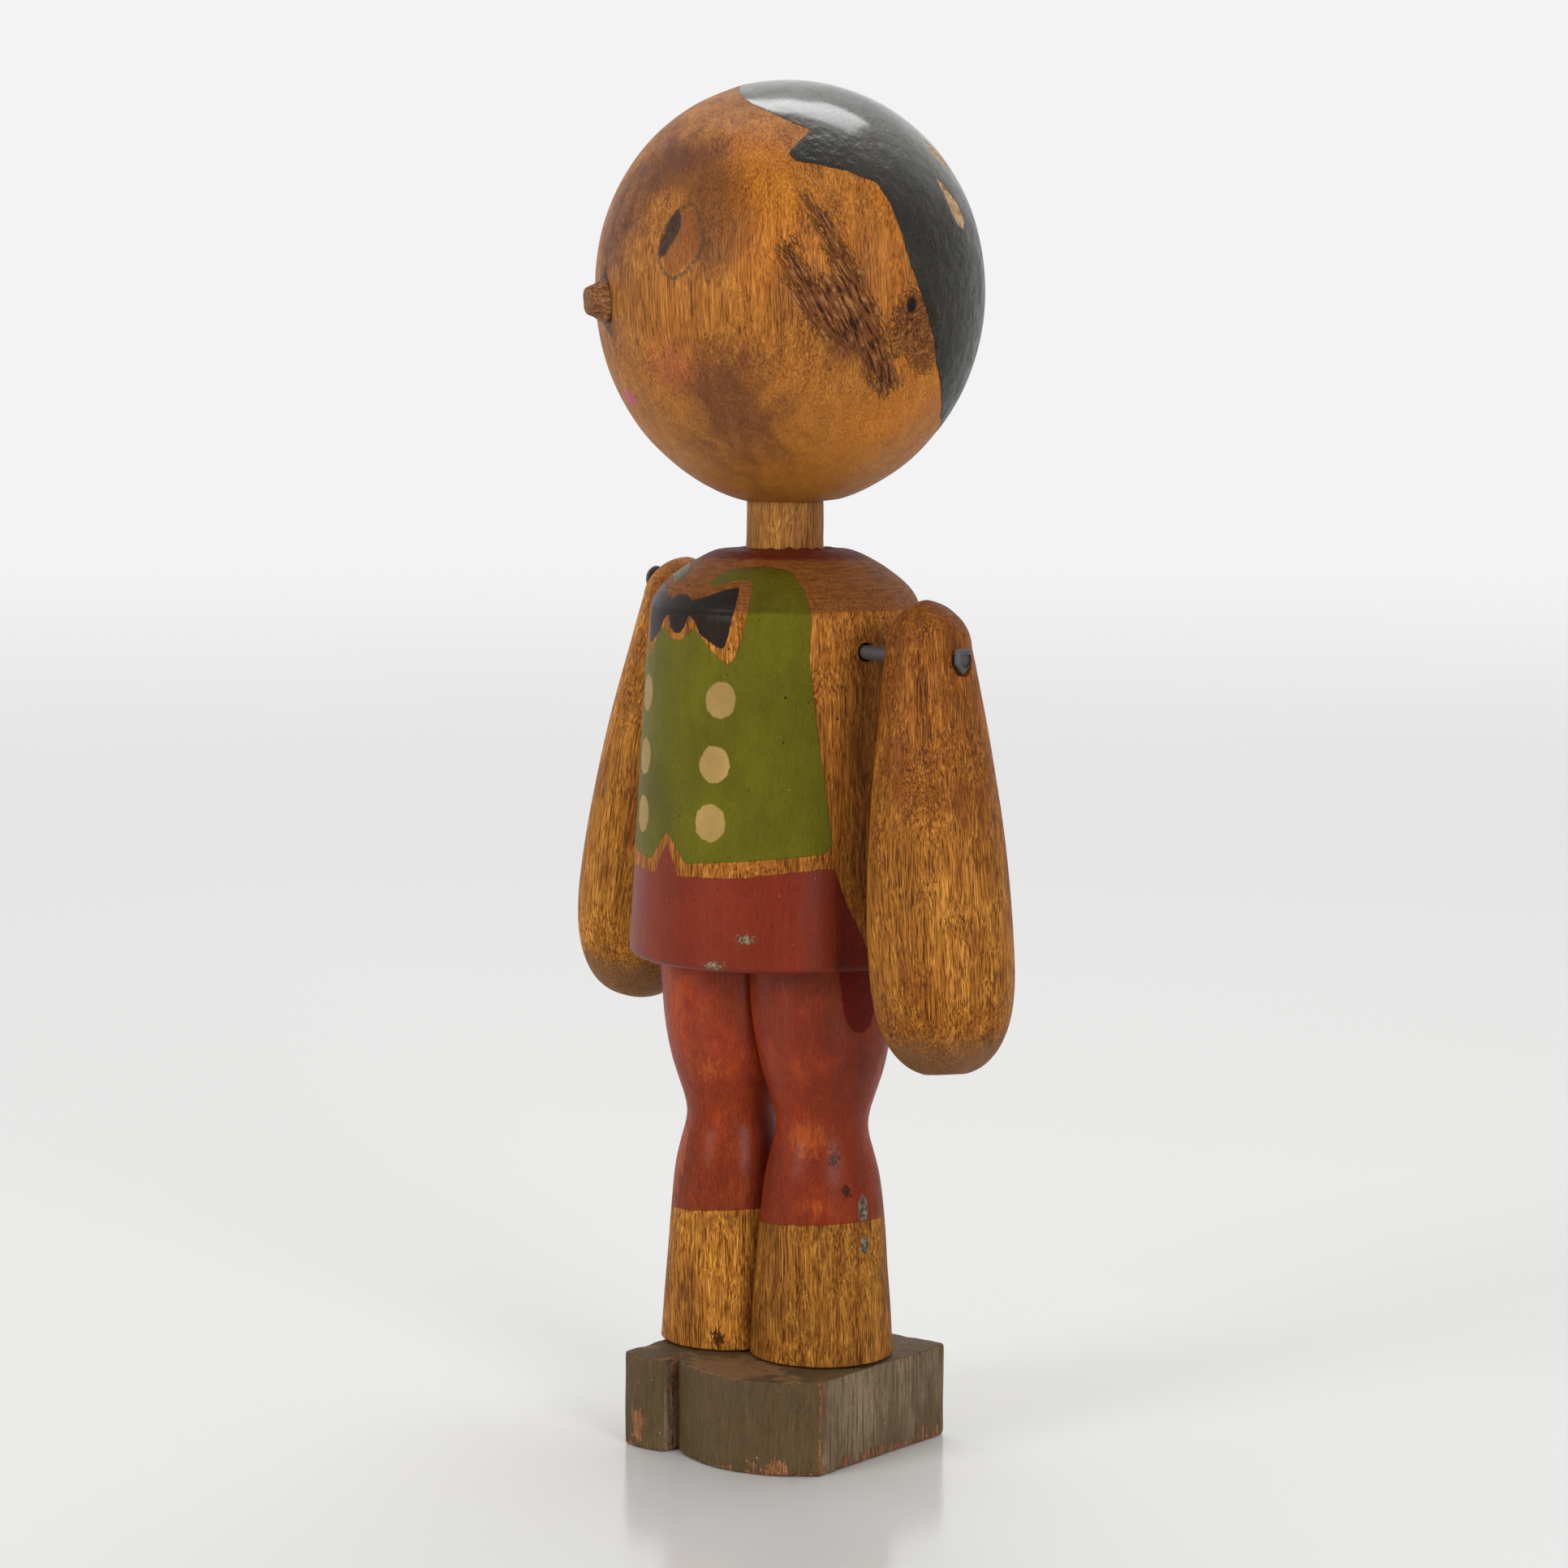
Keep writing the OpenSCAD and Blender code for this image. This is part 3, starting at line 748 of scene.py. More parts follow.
    brushed = s.times(brushed, s.step(up, 30.0, 62.0, 2.2, 0.7))
    on_hair = s.plus(uneven, s.plus(brushed, s.times(pits, -1.3)))
    relief = s.plus(hair["Height"], s.times(fuzz, s.times(strands, 6.0)))
    relief = s.plus(relief, s.plus(s.times(chips, -0.6), s.times(on_hair, hair["Mask"])))
    s.put(shader.inputs["Normal"], s.bump(relief, 0.15))
    return material


def tear_fibres(bm, fields_of):
    """Lifts the torn fibres and the thick hair paint out of the turned face, and sinks the knot."""
    local = np.array([vert.co for vert in bm.verts])
    found = fields_of(local)
    bm.normal_update()
    run = found["fibre_run"]
    # unless it is seeded, the vector noise takes its offsets from the clock
    noise.seed_set(CURL_SEED)
    for k, vert in enumerate(bm.verts):
        rough, curled = found["rough_grain"][k], found["curled_grain"][k]
        move = 0.0
        if rough > -2.5:
            strand = noise.noise(Vector((run[k][0] / 3.2, run[k][1] / 0.8, 4.0)))
            on = min(1.0, max(0.0, (rough + 2.2 * strand + 0.8) / 1.4))
            move += on * (0.14 + 0.55 * abs(strand))
        if curled > -2.0:
            curl = ripple(vert.co + 1.6 * noise.noise_vector(vert.co / 3.0), 1.1, 6.0)
            move += min(1.0, max(0.0, (curled + 1.0) / 1.6)) * 0.32 * abs(curl)
        film = min(found["hair"][k], -found["hair_chip"][k])
        move += 0.07 * min(1.0, max(0.0, (film + 0.2) / 0.4))
        move -= 0.35 * max(0.0, min(1.0, found["knot"][k] + 0.3))
        vert.co += vert.normal * move


def build_head():
    """The turned egg, flat underneath, with its torn patch, knot and nose hole."""
    radius, low_h = HEAD_R, long("head_low")
    lean = shape().head_lean
    top_h = (HEAD_HIGH.z - HEAD_LOW.z) / math.cos(lean) - low_h - 0.05
    flat_r = 7.8
    start = math.acos(flat_r / radius)
    rows = 110
    sweep = [start * (k / rows - 1) for k in range(rows + 1)]
    sweep += [math.pi / 2 * k / rows for k in range(1, rows)]
    low_reach = (low_h + HEAD_SINK) / math.sin(start)
    outline = [(0, -HEAD_SINK), (flat_r * 0.5, -HEAD_SINK)]
    outline += [(radius * math.cos(a), low_h + (low_reach if a < 0 else top_h) * math.sin(a))
                for a in sweep]
    outline += [(0, low_h + top_h)]
    bm = spun(outline, 384)
    wobble(bm, long("unevenness") * 0.8, 26, 3.1)
    wobble(bm, 0.10, 6, 7.7, stretch=2.5)
    tear_fibres(bm, head_fields)
    ragged_hole = bmesh.new()
    bmesh.ops.create_cone(ragged_hole, cap_ends=True, segments=28, radius1=2.9, radius2=4.3,
                          depth=3.4)
    for vert in ragged_hole.verts:
        vert.co += Vector((vert.co.x, vert.co.y, 0)) * 0.14 * ripple(vert.co, 1.6, 5.0)
    hole = tool("nose_hole", ragged_hole, nose_matrix(-radius + 0.2))
    made_piece("head_turned", bm, head_matrix(), "head", "head", head_material(),
               head_fields, [hole])


# ---- Nose and neck ----

def peg_material(name, seed, light, middle, dark, pores=0.6):
    """Bare wood in three tones."""
    material, s, shader = new_material(name)
    wood = varnished(s, seed, blotch=0.6, pores=pores, light=colour(light), middle=colour(middle),
                     dark=colour(dark))
    s.put(shader.inputs["Base Color"], wood["Colour"])
    s.put(shader.inputs["Roughness"], s.step(wood["Height"], 0.2, 0.8, 0.62, 0.48))
    s.put(shader.inputs["Normal"], s.bump(wood["Height"], 0.12))
    return material


def build_nose():
    """A whittled peg: a flared root, a slightly hollow flank and a flat, chipped tip."""
    outline = smooth_run([(0, -8.0), (2.2, -8.0), (2.2, -1.0), (3.5, -0.6), (3.3, 0.6), (2.75, 1.8),
                          (2.3, 2.8), (1.9, 3.0), (0, 3.05)], 5)
    bm = spun([(max(r, 0.0), z) for r, z in outline], 64)
    for vert in bm.verts:
        turn = math.atan2(vert.co.y, vert.co.x)
        out = vert.co.z > -1.2
        facet = 1 + (0.05 * math.cos(5 * turn + 0.6) if out else 0)
        vert.co.x *= facet
        vert.co.y *= facet * (1.0 if not out else 1.04)
        if vert.co.z > 2:
            vert.co.z -= 0.35 * max(0.0, vert.co.x / 2.3)
    wobble(bm, 0.22, 1.7, 2.2)
    made_piece("nose_whittled", bm, nose_matrix(-HEAD_R), "nose_peg", "head",
               peg_material("nose_wood", 4, "AE7C4A", "85552E", "4A2A14"))


def build_neck():
    """The neck dowel, planed by hand so that it isn't quite round."""
    low, high = NECK_LOW.z, NECK_HIGH.z
    outline = [(0, low), (NECK_R - 0.5, low), (NECK_R - 0.02, low + 0.5)]
    rows = 70
    outline += [(NECK_R - 0.02, low + 0.5 + (high - low - 1) * k / rows) for k in range(1, rows + 1)]
    outline += [(NECK_R - 0.5, high), (0, high)]
    bm = spun(outline, 96)
    bore_top = TRUNK_HIGH.z
    for vert in bm.verts:
        free = min(1.0, max(0.0, (vert.co.z - bore_top - 0.2) / 1.5))
        turn = math.atan2(vert.co.y, vert.co.x)
        slack = 0.03 + free * (0.10 + 0.10 * math.sin(3 * turn) + 0.08 * ripple(vert.co, 5, 1.0))
        if 0.5 < vert.co.z - low < high - low - 0.5:
            vert.co.x -= slack * math.cos(turn)
            vert.co.y -= slack * math.sin(turn)
    matrix = Matrix.Rotation(-HEAD_TURN, 4, "Z")
    made_piece("neck_planed", bm, matrix, "neck_dowel", "head",
               peg_material("neck_wood", 5, "C48A3E", "9C6424", "5E320A", pores=0.35))


# ---- Trunk ----

TRUNK_R = (TRUNK_HIGH.x - TRUNK_LOW.x) / 2
SHOULDER_R = 23.7
# The painted front faces a little further round than the nails do.
PAINT_TURN = math.radians(14)
TRUNK_DEGREE = 25.5 * math.radians(1)
VEST = [
    (62, 60.5), (61, 53.9), (63, 45.7), (65, 38), (67, 32.6), (68.5, 26.3), (69.5, 22.0), (66, 20.4),
    (58, 20.1), (43, 19.5), (24, 18.7), (11, 18.2), (8, 19.3), (4, 21.5), (0, 23.2), (-3, 23.2),
    (-3, 57.2), (0, 56.2), (3, 56.3), (6, 57.3), (10.5, 58.4), (16, 56.3), (23, 53.6), (27, 52.6),
    (30, 53.2), (33, 56.6), (35, 60.6), (36.5, 64.5), (34, 66.6), (26, 66.5), (14, 65.4),
    (12.5, 66.1), (14, 67.5), (20, 68.4), (38, 68.9), (52, 68.3), (56, 67.6), (60, 64.8),
]
BOW = [
    (-3, 64.2), (3, 63.9), (7, 63.0), (15, 63.9), (22, 64.9), (29, 65.5), (30, 65.0), (30, 61.9),
    (27, 57.0), (25.5, 55.2), (23, 55.2), (18, 56.4), (14, 57.3), (10.5, 59.6), (7, 60.6), (5, 58.6),
    (2, 57.5), (-3, 57.3),
]
SHORTS = [
    (-3, 21.6), (0, 21.2), (3, 19.3), (7, 15.9), (21, 16.0), (36, 16.4), (52, 17.3), (70, 18.0),
    (75, 11.4), (81, 6.0), (88, -1), (88, -6), (-3, -6),
]
BACK_VEST = [
    (-3, 66), (22, 65.5), (31, 60), (34, 52), (46, 40), (62, 30), (69, 20), (40, 19), (-3, 18.6),
]
BACK_SHORTS = [(-3, 16.2), (30, 16.0), (69, 17.0), (78, 8), (88, -1), (88, -6), (-3, -6)]
BUTTONS = [(24.5, 46.4), (22.5, 35.4), (21.5, 25.4)]


def trunk_matrix():
    """The trunk's own place, turned so that the painted front faces -Y."""
    return Matrix.Rotation(-PAINT_TURN, 4, "Z") @ Matrix.Translation((0, 0, TRUNK_LOW.z))


def trunk_fields(local):
    """Distances inside each painted area of the trunk; left and right are drawn alike."""
    turn = round_from_front(local) * TRUNK_DEGREE
    u, v = np.abs(turn), local[:, 2]
    back = 180 * TRUNK_DEGREE - u
    laid = lambda outline: in_degrees(outline, TRUNK_DEGREE)
    buttons = [spot(u, v, (a * TRUNK_DEGREE, z), 3.0, 3.2) for a, z in BUTTONS]
    return {
        "vest": np.maximum(inside(laid(VEST), u, v), inside(laid(BACK_VEST), back, v)),
        "bow": inside(laid(BOW), u, v),
        "shorts": np.maximum(inside(laid(SHORTS), u, v), inside(laid(BACK_SHORTS), back, v)),
        "buttons": np.max(buttons, axis=0),
        "shaded": u / TRUNK_DEGREE - 70.5,
        "chip": np.maximum(spot(turn, v, (37 * TRUNK_DEGREE, 5.9), 2.0, 0.9),
                           spot(turn, v, (25 * TRUNK_DEGREE, 1.2), 2.2, 0.9)),
    }


def trunk_material():
    """Bare wood, a stained shoulder, and the films of paint in the order they went on."""
    material, s, shader = new_material("trunk_paint", coat_rough=0.3, specular=0.12)
    tones = colours()
    wood = varnished(s, 6, blotch=0.25, pores=0.6, middle=colour("A0601C"), light=colour("CE8A36"),
                     dark=colour("562804"))
    place = seeded(s, 6)
    tone, height = wood["Colour"], wood["Height"]
    up = s.up()
    wander = s.about_nought(s.noise(place, 0.25, 3.0), 1.0)
    on_shoulder = s.step(s.plus(up, wander), 61.0, 61.7)
    turned = s.noise(s.stretch(place, 0.22, 0.22, 3.2), 1.0, 5.0, 0.65)
    lines = s.plus(s.times(turned, 0.6), s.times(s.noise(place, 1.6, 5.0, 0.7), 0.4))
    stain = s.mix(s.step(lines, 0.38, 0.6), darker(tones.shoulder, 0.6),
                  s.mix(0.25, tuple(tones.shoulder), colour("A8703C")))
    tone = s.mix(s.times(on_shoulder, 0.86), tone, stain)
    ring = s.step(s.plus(up, s.times(wander, 1.5)), 69.4, 70.2, 0.0, 0.92)
    tone = s.mix(ring, tone, s.mix(s.noise(place, 1.0, 4.0), colour("461000"), colour("6C1C04")))
    vest_paint = s.mix(on_shoulder, tuple(tones.vest), colour("585301"))
    vest_shade = s.mix(on_shoulder, darker(tones.vest, 0.72), colour("403B00"))
    vest = painted(s, 7, tone, height, vest_paint, vest_shade, s.field("vest"), 0.45, 0.07, 0.06)
    away = s.step(s.field("shaded"), -0.6, 0.2)
    shorts_paint = s.mix(away, tuple(tones.shorts), colour("921B05"))
    shorts_shade = s.mix(away, darker(tones.shorts, 0.78), colour("5C0E01"))
    shorts = painted(s, 8, vest["Colour"], vest["Height"], shorts_paint, shorts_shade,
                     s.field("shorts"), 0.6, 0.10, 0.06)
    bow = painted(s, 9, shorts["Colour"], shorts["Height"], tuple(tones.bow), darker(tones.bow, 0.8),
                  s.field("bow"), 0.6, 0.11, 0.03)
    button = painted(s, 10, bow["Colour"], bow["Height"], tuple(tones.buttons),
                     darker(tones.buttons, 0.72), s.field("buttons"), 1.0, 0.09, 0.05)
    tone = button["Colour"]
    grit = s.noise(place, 2.2, 4.0, 0.7)
    chip = s.step(s.plus(s.field("chip"), s.about_nought(grit, 2.4)), 0.0, 0.5)
    tone = s.mix(chip, tone, s.mix(s.step(grit, 0.42, 0.6), colour("3A1A0C"), colour("A08A72")))
    dents = specks(s, 11, 2.0, 0.3, 0.19)
    tone = s.mix(s.times(dents, 0.85), tone, colour("241B0E"))
    pale = specks(s, 12, 1.6, 0.22, 0.10)
    tone = s.mix(s.times(pale, 0.55), tone, colour("B9A672"))
    rim_wear = s.times(s.step(up, 0.2, 1.6, 1.0, 0.0),
                       s.step(s.noise(place, 0.35, 5.0, 0.7), 0.5, 0.62))
    tone = s.mix(s.times(rim_wear, 0.85), tone, colour("4F3018"))
    s.put(shader.inputs["Base Color"], tone)
    wood_rough = s.step(s.noise(place, 0.6, 4.0), 0.3, 0.7, 0.45, 0.58)
    film = s.sum("MAXIMUM", s.sum("MAXIMUM", vest["Mask"], shorts["Mask"]), bow["Mask"])
    shine = s.times(shorts["Mask"], s.step(away, 0.0, 1.0, 0.25, 0.05))
    s.put(shader.inputs["Coat Weight"], s.plus(shine, s.times(bow["Mask"], 0.1)))
    gloss = s.mix(on_shoulder, (0.44, 0.44, 0.44), (0.27, 0.27, 0.27))
    s.put(shader.inputs["Roughness"], s.mix(film, wood_rough, gloss))
    relief = s.plus(button["Height"], s.plus(s.times(dents, -1.5), s.times(chip, -1.2)))
    relief = s.plus(relief, s.times(turned, s.times(on_shoulder, 1.2)))
    relief = s.plus(relief, s.times(grit, s.step(film, 0.0, 1.0, 0.3, 2.0)))
    s.put(shader.inputs["Normal"], s.bump(relief, 0.16))
    return material


def build_trunk():
    """The turned cone and shoulder, bored for the neck and for the two nails."""
    top, side = TRUNK_HIGH.z - TRUNK_LOW.z, long("trunk_side")
    bore_r = NECK_R + 0.25
    rows = 110
    rim = [(TRUNK_R - 1.3, 0.0), (TRUNK_R - 0.75, 0.12), (TRUNK_R - 0.3, 0.45), (TRUNK_R - 0.04, 1.1)]
    lower = [(TRUNK_R + (SHOULDER_R - TRUNK_R) * k / rows, 1.1 + (side - 1.1) * k / rows)
             for k in range(1, rows)]
    shoulder = smooth_run([(SHOULDER_R, side), (23.45, side + 1.2), (22.5, side + 3.1),
                           (20.8, side + 5.0), (18.4, side + 6.9), (15.2, side + 8.9),
                           (12.0, side + 10.35), (9.4, top - 0.25), (bore_r + 0.5, top)], 7)
    outline = [(0, 0), (8, 0), (17, 0)] + rim + lower + shoulder
    outline += [(bore_r, top - 0.5), (bore_r, top - 8), (bore_r, top - 17.9), (0, top - 17.9)]
    bm = spun(outline, 288)
    wobble(bm, long("unevenness") * 0.45, 22, 9.3)
    for vert in bm.verts:
        # the turner's line where the shoulder starts, and dents along the bottom rim
        if vert.co.z > 4 and vert.co.to_2d().length > bore_r + 1:
            line = max(0.0, 1 - ((vert.co.z - side - 0.1) / 0.7) ** 2)
            vert.co -= vert.normal * 0.10 * line
        if vert.co.z < 1.6 and vert.co.to_2d().length > TRUNK_R - 1.5:
            dent = max(0.0, ripple(vert.co, 3.0, 4.4) - 0.25)
            vert.co -= vert.normal * 0.7 * dent
    for vert in bm.verts:
        # splinters stand up round the neck's bore on the doll's left
        flat = vert.co.to_2d().length
        if vert.co.z > top - 2.5 and bore_r + 0.3 < flat < bore_r + 4.5:
            torn = max(0.0, ripple(vert.co, 1.3, 3.3) + 0.15) * max(0.0, vert.co.x / flat)
            vert.co.z += 0.7 * torn * (1 - (flat - bore_r) / 5)
    wobble(bm, 0.03, 2.0, 6.1, stretch=3.0)
    holes = [
        round_tool(name, 1.5, depth, nail_matrix(at, side) @ Matrix.Translation((0, 0, inwards)), 1.15)
        for name, depth, at, side, inwards in (("left_hole", 4.0, LEFT_NAIL, 1, -19.0),
                                               ("right_hole", 5.0, RIGHT_NAIL, -1, -15.0))
    ]
    made_piece("trunk_turned", bm, trunk_matrix(), "trunk", "body", trunk_material(),
               trunk_fields, holes)


# ---- Arms and nails ----

ARM_TOP_R = 7.2
ARM_BELLY_R = 12.2
ARM_CAP = 8.0
ARM_BELLY = 60.0
NAIL_R = 1.2
# Light, middle and dark wood of the right arm, then of the left.
ARM_TONES = (("F0A84C", "B87424", "603205"), ("BE7A2E", "905214", "462002"))


def nail_matrix(at, side):
    """A nail's own place: +Z runs out along the nail, and the origin is the arm's middle."""
    return (Matrix.Translation(at) @ Matrix.Rotation(-TRUNK_TURN, 4, "Z")
            @ Matrix.Rotation(side * math.pi / 2, 4, "Y"))


def arm_matrix(at, side, drop):
    """An arm's own place: +Z runs up along the arm, and the origin is its top."""
    return (Matrix.Translation(at) @ Matrix.Rotation(-TRUNK_TURN, 4, "Z")
            @ Matrix.Rotation(-shape().arm_forward, 4, "X")
            @ Matrix.Rotation(-side * shape().arm_lean, 4, "Y")
            @ Matrix.Translation((0, 0, drop)))


def arm_radius(down, length):
    """Radius of an arm at a distance below its top."""
    if down < ARM_CAP:
        return ARM_TOP_R * math.sqrt(max(0.0, 1 - ((ARM_CAP - down) / ARM_CAP) ** 2))
    if down < ARM_BELLY:
        share = (down - ARM_CAP) / (ARM_BELLY - ARM_CAP)
        return ARM_TOP_R + (ARM_BELLY_R - ARM_TOP_R) * math.sin(math.pi / 2 * share)
    share = min(1.0, (down - ARM_BELLY) / (length - ARM_BELLY))
    return ARM_BELLY_R * (1 - share ** 2.5) ** 0.4


def arm_length(node):
    """Length of an arm along its own axis, from the height of its box."""
    low, high = corners(node)
    lean = math.cos(shape().arm_lean) * math.cos(shape().arm_forward)
    return (high.z - low.z - 0.15) / lean - (ARM_TOP_R * 0.03)


def arm_material(name, seed, tones):
    """Varnished wood, darker at both ends and golden below the middle."""
    material, s, shader = new_material(name, specular=0.12)
    place = seeded(s, seed)
    down = s.times(s.up(), -1.0)
    light, middle, dark = (colour(text) for text in tones)
    drift = s.times(s.noise(s.stretch(place, 0.09, 0.09, 0.05), 1.0, 4.0, 0.6), 30.0)
    golden = s.times(s.step(s.plus(down, drift), 32.0, 68.0),
                     s.step(s.plus(down, drift), 74.0, 90.0, 1.0, 0.0))
    wood = varnished(s, seed, 0.4, 0.75, s.mix(s.times(golden, 0.6), light, colour("DA9A40")),
                     s.mix(s.times(golden, 0.45), middle, colour("B87826")), dark)
    tone = wood["Colour"]
    smudge = s.noise(s.stretch(place, 0.16, 0.16, 0.09), 1.0, 6.0, 0.66)
    tone = s.mix(s.step(smudge, 0.47, 0.64, 0.0, 0.55), tone, colour("743A0E"))
    worn_end = s.step(s.plus(down, s.times(smudge, 5.0)), 74.0, 79.0)
    tone = s.mix(s.times(worn_end, 0.75), tone, s.mix(smudge, colour("54341B"), colour("946C48")))
    top_end = s.step(s.plus(down, s.times(smudge, 8.0)), 6.0, 16.0, 0.55, 0.0)
    tone = s.mix(top_end, tone, s.mix(0.5, tone, colour("5E3012")))
    fleck = specks(s, seed + 1, 4.0, 0.12, 0.25)
    tone = s.mix(s.times(fleck, 0.7), tone, colour("241509"))
    s.put(shader.inputs["Base Color"], tone)
    s.put(shader.inputs["Roughness"], s.step(s.noise(place, 0.5, 4.0), 0.3, 0.7, 0.44, 0.6))
    relief = s.plus(wood["Height"], s.times(worn_end, s.noise(place, 2.0, 4.0)))
    s.put(shader.inputs["Normal"], s.bump(relief, 0.2))
    return material


def build_arm(name, node, at, side, drop, seed, seat_out):
    """A turned club with a whittled top, bored for its nail and flattened under the nail's head."""
    length = arm_length(node)
    rows = 150
    downs = [length * 0.5 * (1 - math.cos(math.pi * k / rows)) for k in range(rows + 1)]
    bm = spun([(arm_radius(d, length), -d) for d in downs], 128)
    for vert in bm.verts:
        down, turn = -vert.co.z, math.atan2(vert.co.y, vert.co.x)
        # the top is cut with a few knife strokes, which leave flats
        near_top = max(0.0, 1 - down / 11)
        for stroke, depth in ((0.4, 0.9), (1.9, 0.5), (3.3, 1.0), (5.0, 0.6)):
            facing = max(0.0, math.cos(turn - stroke))
            vert.co.z -= near_top * depth * facing ** 3 * min(1.0, vert.co.to_2d().length / 5)
        # the end is a little flat where the turned piece was parted off
        if down > length - 1.2:
            vert.co.z = max(vert.co.z, -(length - 0.35))
    wobble(bm, long("unevenness") * 0.9, 17, seed * 1.3, stretch=1.8)
    wobble(bm, 0.06, 3.0, seed * 2.1, stretch=4.0)
    nail = nail_matrix(at, side)
    bore = round_tool("bore", NAIL_R + 0.12, 44.0, nail @ Matrix.Translation((0, 0, -22)))
    seat = round_tool("seat", 2.75, 12.0, nail @ Matrix.Translation((0, 0, seat_out)), 1.1)
    made_piece(name, bm, arm_matrix(at, side, drop), node, node,
               arm_material(name + "_wood", seed, ARM_TONES[side > 0]), None, [bore, seat])


def iron_material():
    """Oxidised iron, brighter along the shank than on the head."""
    material, s, shader = new_material("nail_iron", specular=0.35)
    place = seeded(s, 20)
    rust = s.step(s.noise(place, 1.4, 5.0, 0.7), 0.42, 0.6)
    base = tuple(colours().iron)
    tone = s.mix(rust, base, colour("3E2A1E"))
    scored = s.noise(s.stretch(place, 1.2, 5.0, 1.2), 1.0, 4.0, 0.7)
    tone = s.mix(s.step(scored, 0.54, 0.66, 0.0, 0.7), tone, colour("6A6157"))
    tone = s.mix(s.step(s.up(), -4.0, 4.0, 0.65, 0.0), tone, colour("8A888A"))
    s.put(shader.inputs["Base Color"], tone)
    s.put(shader.inputs["Metallic"], s.step(rust, 0.0, 1.0, 0.45, 0.1))
    s.put(shader.inputs["Roughness"], s.step(s.noise(place, 2.0, 4.0), 0.3, 0.7, 0.5, 0.7))
    s.put(shader.inputs["Normal"], s.bump(scored, 0.3))
    return material


def struck_reach(turn):
    """Reach of a struck nail head: cut flat above, narrow at the sides and pointed below."""
    down, aside = math.cos(turn), abs(math.sin(turn))
    sloping = 0.6 * down + 0.8 * aside
    return min(1.9 / max(-down, 0.01), 1.55 / max(aside, 0.01), 1.6 / max(sloping, 0.01))


def build_nail(name, node, at, side, clipped):
    """A wire nail: a drawn shank and a head hammered out of round."""
    low, high = corners(node)
    axis = nail_matrix(at, side)
    ends = [(axis.inverted() @ Vector((x, y, at.z))).z
            for x in (low.x, high.x) for y in (low.y, high.y)]
    head_r = (high.z - low.z) / 2
    # the box of a slanted cylinder is longer than its axis by the heads' radii
    slant = abs(math.sin(TRUNK_TURN)) * head_r
    tip = max(ends) - slant
    foot = min(ends) + slant * 0.5
    outline = [(0, foot), (0.5, foot)] + smooth_run(
        [(NAIL_R * 0.7, foot + 0.4), (NAIL_R - 0.02, foot + 1.2), (NAIL_R - 0.02, tip - 2.2),
         (NAIL_R, tip - 1.2)], 16)
    outline += smooth_run([(head_r - 0.35, tip - 1.12), (head_r - 0.06, tip - 0.95),
                           (head_r - 0.04, tip - 0.5), (head_r - 0.4, tip - 0.12),
                           (head_r * 0.5, tip - 0.02), (0, tip)], 5)
    bm = spun(outline, 72)
    for vert in bm.verts:
        if vert.co.z > tip - 1.3:
            turn = math.atan2(vert.co.y, vert.co.x)
            worn = 1 - clipped * (1 - min(1.0, struck_reach(turn) / head_r))
            vert.co.x *= worn
            vert.co.y *= worn
    for vert in bm.verts:
        if vert.co.z > tip - 1.25 and vert.co.to_2d().length > NAIL_R * 0.9:
            vert.co += Vector((0, 0, -0.12)) * abs(ripple(vert.co, 1.1, 8.0))
        elif vert.co.to_2d().length > NAIL_R * 0.8:
            vert.co += vert.normal * 0.02 * ripple(vert.co, 0.9, 3.0)
    made_piece(name, bm, axis, node, "body", bpy.data.materials["nail_iron"])


# ---- Legs ----

# Paint on a leg is laid out in (degrees from its front, height above its foot), and one degree
# is taken as this many millimetres.
LEG_DEGREE = 12.0 * math.radians(1)
# Each leg's flat stands off the plane between the legs by this much.
LEG_SEAM = 0.04
# How bright the bare boot is on the right leg, then on the left.
BOOT_BRIGHT = (1.1, 0.82)


def leg_fields(side):
    """Stocking and its flaws: the left leg's are on the side, the right leg's at the front."""
    def fields(local):
        angle = round_from_front(local)
        u, v = angle * LEG_DEGREE, local[:, 2]
        at = lambda a, z: (a * LEG_DEGREE, z)
        edge = v - 24.2 - 0.9 * np.sin(np.radians(angle + 20))
        if side > 0:
            drip = inside(rounded(in_degrees([(48, 76), (50, 67), (56, 60.5), (69, 58.6), (80, 60.5),
                                              (85, 67), (86, 76)], LEG_DEGREE)), u, v)
            dab = np.maximum(spot(u, v, at(79, 27.2), 1.3, 2.4), spot(u, v, at(78, 20.8), 1.2, 1.5))
            rub = np.maximum(spot(u, v, at(16, 40.0), 6.0, 3.0), spot(u, v, at(30, 28.0), 6.0, 3.0) - 1.8)
            crack = np.maximum(spot(u, v, at(50, 36.4), 1.3, 2.4), spot(u, v, at(61, 30.6), 1.2, 1.4)) - 0.35
        else:
            drip = np.full(u.shape, -9.0)
            dab = np.full(u.shape, -9.0)
            rub = np.maximum(spot(u, v, at(-36, 33.0), 3.0, 8.0), spot(u, v, at(14, 50), 4.5, 3.0) - 0.8)
            crack = spot(u, v, at(26, 2.2), 1.4, 2.2) - 0.3
        return {"stocking": edge, "drip": drip, "dab": dab, "rub": rub, "crack": crack}
    return fields


